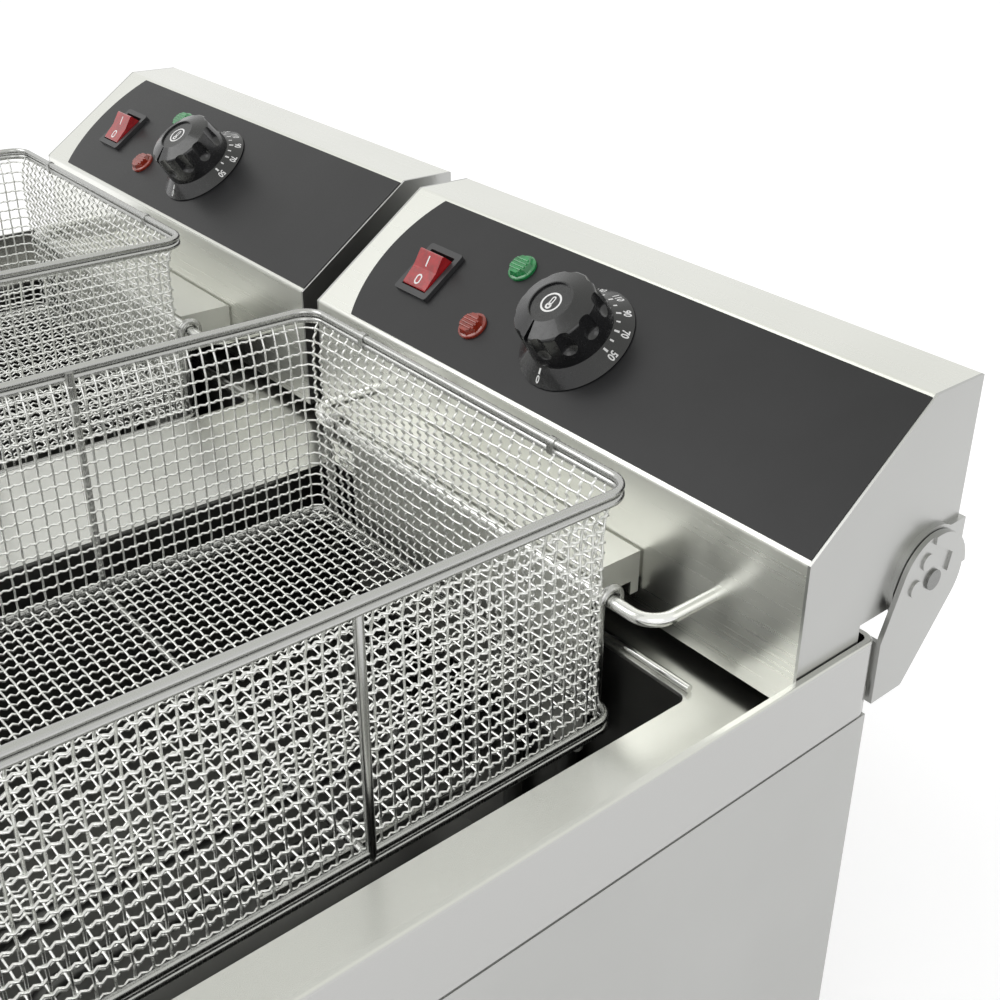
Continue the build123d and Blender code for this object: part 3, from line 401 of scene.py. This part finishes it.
materials = {
    "sheet_x": brushed_steel(
        "sheet_steel_along_x", "X", 0.77, 0.28, spread=0.01, grain=0.001, stretched=0.6, warmth=0.05
    ),
    # Side sheets, with a low tone that is partly their own and partly painted shade
    "sheet_y": brushed_steel(
        "sheet_steel_along_y_shaded", "Y", 0.48, 0.3, spread=0.01, grain=0.0015, stretched=0.4
    ),
    # The deck's standing faces get a darker colour as painted shade
    "deck": brushed_steel(
        "deck_steel", "Y", 0.7, 0.26, spread=0.01, grain=0.001, stretched=0.5, warmth=0.04,
        standing=(0.5, 0.5, 0.49),
    ),
    "cover": brushed_steel("cover_steel", "X", 0.74, 0.46, grain=0.01, warmth=0.05),
    "bar": brushed_steel("polished_bar", "Z", 0.86, 0.2),
    "plain": brushed_steel("plain_steel", "X", 0.5, 0.38),
    "tank": tank_steel("tank_steel"),
    "wire": brushed_steel("polished_wire", "Z", 0.7, 0.14),
    "rod": brushed_steel("satin_rod", "Z", 0.49, 0.26, spread=0.05),
    "weave": brushed_steel("woven_wire", "X", 0.87, 0.3, spread=0.05),
    "screw": brushed_steel("plated_screw", "Y", 0.24, 0.26),
    "element": brushed_steel("sheathed_tube", "Y", 0.16, 0.45),
    "tap": brushed_steel("nickel_plate", "X", 0.62, 0.18),
    "overlay": plastic("black_film", (0.015, 0.015, 0.016), 0.36, grain=1600.0, gloss=0.34),
    "moulding": plastic("black_moulding", (0.04, 0.04, 0.042), 0.36),
    "knob": plastic("black_gloss_knob", (0.01, 0.01, 0.011), 0.24, grain=500.0, bump=0.02, coat=0.3),
    "grip": plastic("black_grip", (0.018, 0.018, 0.018), 0.5, grain=700.0, bump=0.15),
    "rubber": plastic("foot_rubber", (0.025, 0.025, 0.025), 0.7, grain=600.0, bump=0.2),
    "ceramic": plastic("terminal_ceramic", (0.8, 0.78, 0.72), 0.6),
    "lever": plastic("red_lever_sleeve", (0.45, 0.03, 0.02), 0.4, grain=500.0, bump=0.08),
    "rocker": painted_glow_plastic("red_rocker", (0.36, 0.008, 0.012), 0.06),
    "green": painted_glow_plastic("green_lens", (0.01, 0.23, 0.06), 0.06),
    "red": painted_glow_plastic("red_lens", (0.27, 0.022, 0.008), 0.04),
    "print": plastic("white_print", (0.85, 0.85, 0.84), 0.5),
}

node_looks = {
    "casing": "sheet_y", "base_plate": "plain", "feet": "rubber", "top_deck": "deck", "edge_rods": "wire",
    "hinge_brackets": "sheet_y", "bracket_screws": "screw", "hinge_pins": "screw", "drain_taps": "tap",
}
side_looks = {
    "tank": "tank", "head_shell": "sheet_x", "head_side_plates": "sheet_y", "head_floor": "plain",
    "head_back_panel": "sheet_x", "panel_overlay": "overlay", "switch_body": "moulding",
    "rocker": "rocker", "thermostat": "plain", "knob": "knob", "cable_gland": "moulding",
    "limit_thermostat": "moulding", "terminal_block": "ceramic", "element_cover": "cover",
    "heating_element": "element", "sensor_bulb": "wire", "hanger_bar": "bar", "hinge_ears": "sheet_y",
    "basket_frame": "rod", "basket_mesh": "weave", "basket_grip": "grip", "tap_lever": "lever",
    "green_lamp": "green", "red_lamp": "red",
}
for side in sides:
    for name, look in side_looks.items():
        node_looks[f"{side}_{name}"] = look
for name, look in node_looks.items():
    nodes[name].data.materials.clear()
    nodes[name].data.materials.append(materials[look])


# Mesh helpers


def make_piece(name, verts, faces, look, body, smooth=True):
    mesh = bpy.data.meshes.new(name)
    mesh.from_pydata([tuple(v) for v in verts], [], faces)
    mesh.update()
    mesh.polygons.foreach_set("use_smooth", [smooth] * len(mesh.polygons))
    mesh.materials.append(materials[look])
    piece = bpy.data.objects.new(name, mesh)
    bpy.context.scene.collection.objects.link(piece)
    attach(piece, body)
    return piece


class Shape:
    """Points and faces gathered into one mesh."""

    def __init__(self):
        self.verts = []
        self.faces = []

    def add(self, points, faces):
        base = len(self.verts)
        self.verts.extend(points)
        self.faces.extend(tuple(base + i for i in face) for face in faces)

    def loft(self, rings):
        """Join rings that turn anticlockwise about the way they go, and cap the first and the last."""
        count = len(rings[0])
        faces = []
        for ring in range(len(rings) - 1):
            here = ring * count
            for k in range(count):
                after = (k + 1) % count
                faces.append((here + k, here + after, here + count + after, here + count + k))
        faces.append(tuple(reversed(range(count))))
        faces.append(tuple(range((len(rings) - 1) * count, len(rings) * count)))
        self.add([point for ring in rings for point in ring], faces)


class Wires:
    """Round wires gathered into one mesh."""

    def __init__(self, radius, facets):
        self.radius = radius
        self.facets = facets
        self.rings = []
        self.faces = []
        self.total = 0

    def add(self, points, across, closed=False):
        """One wire along points; across is a direction square to the whole wire."""
        points = np.asarray(points, float)
        if closed:
            ahead = np.roll(points, -1, axis=0) - np.roll(points, 1, axis=0)
        else:
            ahead = np.gradient(points, axis=0)
        ahead /= np.linalg.norm(ahead, axis=1)[:, None]
        first = np.broadcast_to(np.asarray(across, float), points.shape)
        second = np.cross(ahead, first)
        turns = 2 * pi * np.arange(self.facets) / self.facets
        circle = np.cos(turns)[None, :, None] * first[:, None]
        circle += np.sin(turns)[None, :, None] * second[:, None]
        self.rings.append((points[:, None] + self.radius * circle).reshape(-1, 3))
        self.join(len(points), closed)

    def join(self, count, closed):
        """Faces between the last count rings, with a cap on each end of an open wire."""
        base = self.total
        self.total += count * self.facets
        for i in range(count if closed else count - 1):
            here = base + i * self.facets
            there = base + (i + 1) % count * self.facets
            for k in range(self.facets):
                after = (k + 1) % self.facets
                self.faces.append((here + k, here + after, there + after, there + k))
        if not closed:
            last = base + (count - 1) * self.facets
            self.faces.append(tuple(base + k for k in reversed(range(self.facets))))
            self.faces.append(tuple(last + k for k in range(self.facets)))

    def verts(self):
        return np.concatenate(self.rings)


# Woven basket walls and base


def rounded_loop(centre, width, depth, corner):
    """Length of a rounded rectangle, and a function giving a point and its outward normal along it."""
    half_x = width / 2 - corner
    half_y = depth / 2 - corner
    quarter = pi * corner / 2
    runs = [2 * half_y, quarter, 2 * half_x, quarter, 2 * half_y, quarter, 2 * half_x, quarter]
    total = sum(runs)
    corners = ((half_x, half_y), (-half_x, half_y), (-half_x, -half_y), (half_x, -half_y))

    def at(along):
        along %= total
        for index, run in enumerate(runs):
            if along <= run:
                break
            along -= run
        turn = index // 2 * pi / 2
        corner_x, corner_y = corners[index // 2]
        if index % 2:
            angle = turn + along / corner
            normal = np.array((cos(angle), sin(angle)))
            point = np.array((corner_x, corner_y)) + corner * normal
        else:
            normal = np.array((cos(turn), sin(turn)))
            heading = np.array((-normal[1], normal[0]))
            point = np.array((corner_x, corner_y)) + corner * normal - heading * (run - along)
        return np.array(centre) + point, normal

    return total, at


def crimp(beats):
    """Offset of a crimped wire, with one extra wave between crossings, which are a beat apart."""
    return weave_crimp * cos(crimp_half_waves * pi * beats)


def counter(beats):
    """Offset the other way of the nearly straight wire that crosses a crimped one."""
    return -weave_counter * cos(pi * beats)


def flare(below):
    """Outward offset of a wire this far below the top of a wall, which meets the rim there."""
    return weave_flare * max(0.0, 1 - below / flare_height) ** 2


def on_long_side(normal):
    """Whether a wall faces left or right, as the long sides do, rather than front or rear."""
    return abs(normal[0]) > 0.5


class Net:
    """Sizes of one basket's woven walls and base, from the coarse net that they replace."""

    def __init__(self, side):
        low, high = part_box(f"{side}_basket_mesh")
        self.centre = ((low.x + high.x) / 2, (low.y + high.y) / 2)
        width = high.x - low.x - 2 * weave_inset
        depth = high.y - low.y - 2 * weave_inset
        self.lengths = (width, depth)
        total, self.at = rounded_loop(self.centre, width, depth, weave_corner)
        self.stays = 2 * round(total / weave_pitch / 2)
        self.step = total / self.stays
        self.base_z = low.z + weave_inset
        self.wall_low = low.z - weave_skirt
        self.wall_height = high.z - rim_wire_pitch - self.wall_low
        self.rows = round(self.wall_height / weave_pitch)
        self.rise = self.wall_height / self.rows


def make_level_wires(side, net):
    """Wires round the walls, crimped on the long sides and nearly straight on the short ones."""
    wires = Wires(weave_radius, wire_facets)
    for row in range(net.rows):
        height = (row + 0.5) * net.rise
        offset = flare(net.wall_height - height)
        points = []
        for stay in range(net.stays):
            steps = crimp_steps if on_long_side(net.at(stay * net.step)[1]) else counter_steps
            for i in range(steps):
                beats = stay + i / steps
                place, normal = net.at(beats * net.step)
                swing = crimp(beats + row) if on_long_side(normal) else counter(beats + row)
                points.append((*(place + (swing + offset) * normal), net.wall_low + height))
        wires.add(points, (0, 0, 1), closed=True)
    body = f"{side}_basket"
    piece = make_piece(f"{body}_weave_levels", wires.verts(), wires.faces, "weave", body)
    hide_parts(f"{side}_basket_mesh")


def make_upright_wires(side, net):
    """Wires up the walls, nearly straight on the long sides and crimped on the short ones."""
    wires = Wires(weave_radius, wire_facets)
    for stay in range(net.stays):
        place, normal = net.at(stay * net.step)
        wave, steps = (counter, counter_steps) if on_long_side(normal) else (crimp, crimp_steps)
        points = []
        for i in range(net.rows * steps + 1):
            height = i * net.rise / steps
            swing = wave(i / steps - 0.5 + stay) + flare(net.wall_height - height)
            points.append((*(place + swing * normal), net.wall_low + height))
        wires.add(points, (-normal[1], normal[0], 0))
    body = f"{side}_basket"
    make_piece(f"{body}_weave_uprights", wires.verts(), wires.faces, "weave", body)


def make_base_wires(side, net):
    """Wires across the base, nearly straight along X and crimped along Y, cut short at the corners."""
    wires = Wires(weave_radius, wire_facets)
    for axis, across_axis, wave, steps in ((0, 1, counter, counter_steps), (1, 0, crimp, crimp_steps)):
        length = net.lengths[axis]
        span = net.lengths[across_axis]
        lanes = round(span / weave_pitch)
        beat = length / round(length / weave_pitch)
        across = [0.0, 0.0, 0.0]
        across[across_axis] = 1.0
        for lane in range(1, lanes):
            offset = lane * (span / lanes) - span / 2
            edge = abs(offset) - (span / 2 - weave_corner)
            cut = weave_corner - (weave_corner**2 - max(0.0, edge) ** 2) ** 0.5
            reach = length / 2 - cut
            points = []
            samples = ceil(2 * reach / beat * steps)
            for i in range(samples + 1):
                along = -reach + 2 * reach * i / samples
                beats = (along + length / 2) / beat
                point = [0.0, 0.0, net.base_z + wave(beats + lane)]
                point[axis] = net.centre[axis] + along
                point[across_axis] = net.centre[across_axis] + offset
                points.append(point)
            wires.add(points, across)
    body = f"{side}_basket"
    make_piece(f"{body}_weave_base", wires.verts(), wires.faces, "weave", body)


def make_weave(side):
    net = Net(side)
    make_level_wires(side, net)
    make_upright_wires(side, net)
    make_base_wires(side, net)


def make_rim_clips(side):
    """Small sheet clips round both rim wires at the rear of a basket."""
    mesh_low, mesh_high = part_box(f"{side}_basket_mesh")
    frame_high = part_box(f"{side}_basket_frame")[1]
    centre_x = (mesh_low.x + mesh_high.x) / 2
    rim_y = mesh_high.y + frame_high.x - rim_wire_radius - mesh_high.x
    rim_z = mesh_high.z
    outer = rim_wire_radius + clip_sheet
    section = []
    for step in range(clip_steps):
        angle = 2 * pi * step / clip_steps
        drop = rim_wire_pitch if 2 * step > clip_steps else 0.0
        section.append((rim_y + outer * cos(angle), rim_z - drop + outer * sin(angle)))
    shape = Shape()
    for middle in (centre_x - clip_spacing, centre_x + clip_spacing):
        ends = (middle - clip_width / 2, middle + clip_width / 2)
        shape.loft([[(x, y, z) for y, z in section] for x in ends])
    make_piece(f"{side}_basket_rim_clips", shape.verts, shape.faces, "rod", f"{side}_basket", False)


# Plate below the element cover


def make_element_guard(side):
    """Bare plate that hangs from the element cover into the tank, in front of the element's legs."""
    low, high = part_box(f"{side}_element_cover")
    left = low.x - guard_reach
    cover_low = low.z + cover_tab_drop
    outline = []
    for centre_x, start in ((left + guard_corner, pi), (high.x - guard_corner, 1.5 * pi)):
        for step in range(guard_steps + 1):
            angle = start + pi / 2 * step / guard_steps
            across = centre_x + guard_corner * cos(angle)
            outline.append((across, guard_foot + guard_corner * (1 + sin(angle))))
    outline.append((high.x, cover_low))
    outline.append((low.x - guard_gap, cover_low))
    outline.append((low.x - guard_gap, high.z))
    outline.append((left, high.z))
    shape = Shape()
    shape.loft([[(x, y, z) for x, z in outline] for y in (low.y + guard_sheet, low.y)])
    name = f"{side}_element_guard"
    make_piece(name, shape.verts, shape.faces, "cover", f"{side}_head", False)


# Print, rockers and lenses on the sloping panels


class Panel:
    """Sloping panel of one head: u to the right, v up the slope, lift outwards, from the knob's axis."""

    def __init__(self, side):
        joint = joints[f"{side}_knob_turn"]
        self.origin = Vector(joint["pos_m"])
        self.normal = -Vector(joint["axis"]).normalized()
        self.right = Vector((1.0, 0.0, 0.0))
        self.up = self.normal.cross(self.right)

    def at(self, u, v, lift):
        return self.origin + u * self.right + v * self.up + lift * self.normal


def text_mesh(text, size):
    """Flat outline of a text, centred, as points and faces."""
    curve = bpy.data.curves.new("print_source", "FONT")
    curve.body = text
    curve.size = size
    curve.offset = print_weight
    curve.align_x = "CENTER"
    curve.align_y = "CENTER"
    source = bpy.data.objects.new("print_source", curve)
    bpy.context.scene.collection.objects.link(source)
    mesh = bpy.data.meshes.new_from_object(source)
    points = [v.co.copy() for v in mesh.vertices]
    faces = [tuple(p.vertices) for p in mesh.polygons]
    bpy.data.objects.remove(source)
    bpy.data.curves.remove(curve)
    bpy.data.meshes.remove(mesh)
    return points, faces


def slot_loop(middle, half_height, half_width):
    """Closed loop of an upright slot shape, as (u, v)."""
    loop = []
    for step in range(slot_steps):
        angle = 2 * pi * step / slot_steps
        rise = half_height - half_width
        if 2 * step > slot_steps:
            rise = -rise
        loop.append((half_width * cos(angle), middle + rise + half_width * sin(angle)))
    return loop


def slot_band(middle, half_height, half_width, stroke):
    """Points and faces of the outline of an upright slot shape, as wide as the stroke."""
    outer = slot_loop(middle, half_height, half_width)
    inner = slot_loop(middle, half_height - stroke, half_width - stroke)
    count = len(outer)
    faces = []
    for k in range(count):
        after = (k + 1) % count
        faces.append((k, after, count + after, count + k))
    return outer + inner, faces


def make_knob_print(side):
    """Scale on the skirt and a thermometer sign on the cap."""
    panel = Panel(side)
    shape = Shape()

    def on_skirt(angle, radius):
        """Point on the skirt's cone; angle is clockwise from straight up."""
        share = (radius - knob_grip_radius) / (knob_skirt_radius - knob_grip_radius)
        lift = knob_skirt_lift + (knob_base_lift - knob_skirt_lift) * share + print_lift
        return panel.at(radius * sin(angle), radius * cos(angle), lift)

    def add_tick(angle, outer, half_width):
        spread = half_width / outer
        corners = ((-spread, tick_inner), (spread, tick_inner), (spread, outer), (-spread, outer))
        shape.add([on_skirt(angle + turn, radius) for turn, radius in corners], [(0, 1, 2, 3)])

    def add_number(angle, number):
        points, faces = text_mesh(number, dial_size)
        places = [on_skirt(angle + point.x / dial_radius, dial_radius + point.y) for point in points]
        shape.add(places, faces)

    for index, number in enumerate(dial_numbers):
        angle = dial_start + index * dial_step
        add_tick(angle, tick_outer, tick_half_width)
        add_tick(angle + dial_step / 2, small_tick_outer, small_tick_half_width)
        add_number(angle, number)
    add_tick(pi, zero_tick_outer, tick_half_width)
    add_number(pi, "0")
    for sizes in cap_sign.values():
        points, faces = slot_band(*sizes)
        shape.add([panel.at(u, v, knob_cap_lift + print_lift) for u, v in points], faces)
    name = f"{side}_knob"
    make_piece(f"{name}_numbers", shape.verts, shape.faces, "print", name, False)


def rocker_section():
    """Outline of a rocker from the side, as (along, rise) from its pivot, with a round lip at each end."""
    lip_height = rocker_end_rise - rocker_lip
    turns = [pi / 2 * step / lip_steps for step in range(lip_steps + 1)]
    section = [(rocker_upper, -rocker_belly)]
    for turn in turns:
        section.append((rocker_upper - rocker_lip * (1 - cos(turn)), lip_height + rocker_lip * sin(turn)))
    section.append((0.0, rocker_centre_rise))
    for turn in turns:
        section.append((rocker_lip * (1 - sin(turn)) - rocker_lower, lip_height + rocker_lip * cos(turn)))
    section.append((-rocker_lower, -rocker_belly))
    return section


def make_rocker(side):
    """Rocker with rounded lips, and I and O on its two faces."""
    panel = Panel(side)
    name = f"{side}_rocker"
    low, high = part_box(name)
    pivot = Vector(joints[f"{name}_tip"]["pos_m"])
    pivot.x = (low.x + high.x) / 2
    lean = panel.up * cos(rocker_tilt) + panel.normal * sin(rocker_tilt)
    out = panel.normal * cos(rocker_tilt) - panel.up * sin(rocker_tilt)

    def at(u, along, rise):
        return pivot + u * panel.right + along * lean + rise * out

    def on_face(u, along):
        reach = rocker_upper if along > 0 else rocker_lower
        share = abs(along) / (reach - rocker_lip)
        rise = rocker_centre_rise + (rocker_end_rise - rocker_centre_rise) * share + print_lift
        return at(u, along, rise)

    moulding = Shape()
    section = rocker_section()
    moulding.loft([[at(x - pivot.x, along, rise) for along, rise in section] for x in (low.x, high.x)])
    piece = make_piece(
        f"{name}_moulding", moulding.verts, moulding.faces, "rocker", name, False
    )
    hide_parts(name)

    marks = Shape()
    bar = (
        (-bar_half_width, bar_start), (bar_half_width, bar_start),
        (bar_half_width, bar_end), (-bar_half_width, bar_end),
    )
    marks.add([on_face(u, along) for u, along in bar], [(0, 1, 2, 3)])
    points, faces = slot_band(ring_middle, ring_half_height, ring_half_width, ring_stroke)
    marks.add([on_face(u, along) for u, along in points], faces)
    make_piece(f"{name}_marks", marks.verts, marks.faces, "print", name, False)


def make_lens(side, colour):
    """Faceted lamp lens with ribs across its face."""
    panel = Panel(side)
    middle = lamp_spots[colour]
    facet = 2 * pi / lamp_facets

    def ring(radius, lift, faceted):
        points = []
        for k in range(lamp_segments):
            angle = 2 * pi * k / lamp_segments
            reach = radius
            if faceted:
                reach = radius / cos((angle + facet / 2) % facet - facet / 2)
            points.append(panel.at(lamp_u + reach * cos(angle), middle + reach * sin(angle), lift))
        return points

    shape = Shape()
    shape.loft([ring(radius, lift, faceted) for radius, lift, faceted in lens_profile])
    face_radius, face_lift = lens_profile[-1][:2]
    section = []
    for step in range(rib_steps + 1):
        angle = pi * step / rib_steps
        section.append((rib_half_width * cos(angle), rib_height * sin(angle)))
    for rib in range(lamp_ribs):
        offset = (rib - (lamp_ribs - 1) / 2) * rib_pitch
        half_length = rib_length_share * (face_radius**2 - offset**2) ** 0.5
        ends = []
        for u in (lamp_u - half_length, lamp_u + half_length):
            ends.append([panel.at(u, middle + offset + v, face_lift + lift) for v, lift in section])
        shape.loft(ends)
    name = f"{side}_{colour}"
    body = f"{side}_head"
    piece = make_piece(f"{name}_lens", shape.verts, shape.faces, colour, body, False)
    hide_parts(f"{name}_lamp")


for side in sides:
    make_weave(side)
    make_rim_clips(side)
    make_element_guard(side)
    make_knob_print(side)
    make_rocker(side)
    for colour in lamp_spots:
        make_lens(side, colour)


# Camera, light and floor


def make_camera():
    low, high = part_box("right_head_side_plates")
    place = Vector((high.x, low.y, low.z)) + camera_offset
    forward = Vector(
        (-sin(camera_yaw) * cos(camera_pitch), cos(camera_yaw) * cos(camera_pitch), -sin(camera_pitch))
    )
    level = Vector((cos(camera_yaw), sin(camera_yaw), 0.0))
    upright = level.cross(forward)
    right = cos(camera_roll) * level + sin(camera_roll) * upright
    up = -sin(camera_roll) * level + cos(camera_roll) * upright
    data = bpy.data.cameras.new("photo_camera")
    data.lens = camera_lens
    data.sensor_width = camera_sensor
    data.shift_x, data.shift_y = camera_shift
    data.clip_start = camera_clip
    camera = bpy.data.objects.new("photo_camera", data)
    axes = Matrix((right, up, -forward)).transposed()
    camera.matrix_world = Matrix.Translation(place) @ axes.to_4x4()
    bpy.context.scene.collection.objects.link(camera)
    bpy.context.scene.camera = camera


def seen_directly(tree):
    """1 for rays from the camera and for what gloss and glass show, else 0."""
    path = tree.nodes.new("ShaderNodeLightPath")
    total = path.outputs["Is Camera Ray"]
    for output in ("Is Glossy Ray", "Is Transmission Ray"):
        node = tree.nodes.new("ShaderNodeMath")
        node.operation = "MAXIMUM"
        tree.links.new(total, node.inputs[0])
        tree.links.new(path.outputs[output], node.inputs[1])
        total = node.outputs[0]
    return total


def make_world():
    """White walls under a duller ceiling to the camera and to gloss, plain soft light to the rest."""
    world = bpy.data.worlds.new("white_studio")
    bpy.context.scene.world = world
    world.use_nodes = True
    tree = world.node_tree
    ambient = tree.nodes["Background"]
    ambient.inputs["Strength"].default_value = ambient_level
    ambient.inputs["Color"].default_value = white
    place = tree.nodes.new("ShaderNodeTexCoord")
    split = tree.nodes.new("ShaderNodeSeparateXYZ")
    tree.links.new(place.outputs["Generated"], split.inputs["Vector"])
    rise = tree.nodes.new("ShaderNodeMapRange")
    rise.inputs["From Min"].default_value = ceiling_start
    rise.inputs["From Max"].default_value = ceiling_full
    tree.links.new(split.outputs["Z"], rise.inputs["Value"])
    shade = tree.nodes.new("ShaderNodeMix")
    shade.data_type = "RGBA"
    shade.inputs["A"].default_value = horizon_colour
    shade.inputs["B"].default_value = ceiling_colour
    tree.links.new(rise.outputs["Result"], shade.inputs["Factor"])
    shown = tree.nodes.new("ShaderNodeBackground")
    tree.links.new(shade.outputs["Result"], shown.inputs["Color"])
    mix = tree.nodes.new("ShaderNodeMixShader")
    tree.links.new(seen_directly(tree), mix.inputs[0])
    tree.links.new(ambient.outputs[0], mix.inputs[1])
    tree.links.new(shown.outputs[0], mix.inputs[2])
    tree.links.new(mix.outputs[0], tree.nodes["World Output"].inputs["Surface"])


def make_floor():
    """Pale floor that glows a little where it is seen directly."""
    half = floor_size / 2
    corners = [(-half, -half, 0), (half, -half, 0), (half, half, 0), (-half, half, 0)]
    mesh = bpy.data.meshes.new("floor")
    mesh.from_pydata(corners, [], [(0, 1, 2, 3)])
    material, tree, shader = new_material("pale_floor", floor_colour, floor_roughness)
    shader.inputs["Emission Color"].default_value = white
    glow = tree.nodes.new("ShaderNodeMath")
    glow.operation = "MULTIPLY"
    glow.inputs[1].default_value = floor_glow
    tree.links.new(seen_directly(tree), glow.inputs[0])
    tree.links.new(glow.outputs[0], shader.inputs["Emission Strength"])
    mesh.materials.append(material)
    floor = bpy.data.objects.new("floor", mesh)
    bpy.context.scene.collection.objects.link(floor)


def make_light(name, place, size, power):
    data = bpy.data.lights.new(name, "AREA")
    data.shape = "DISK"
    data.size = size
    data.energy = power
    lamp = bpy.data.objects.new(name, data)
    lamp.location = place
    lamp.rotation_euler = (light_aim - Vector(place)).to_track_quat("-Z", "Y").to_euler()
    bpy.context.scene.collection.objects.link(lamp)


make_camera()
make_world()
make_floor()
for name, (place, size, power) in studio_lights.items():
    make_light(name, place, size, power)

bpy.context.scene.view_settings.view_transform = "Standard"
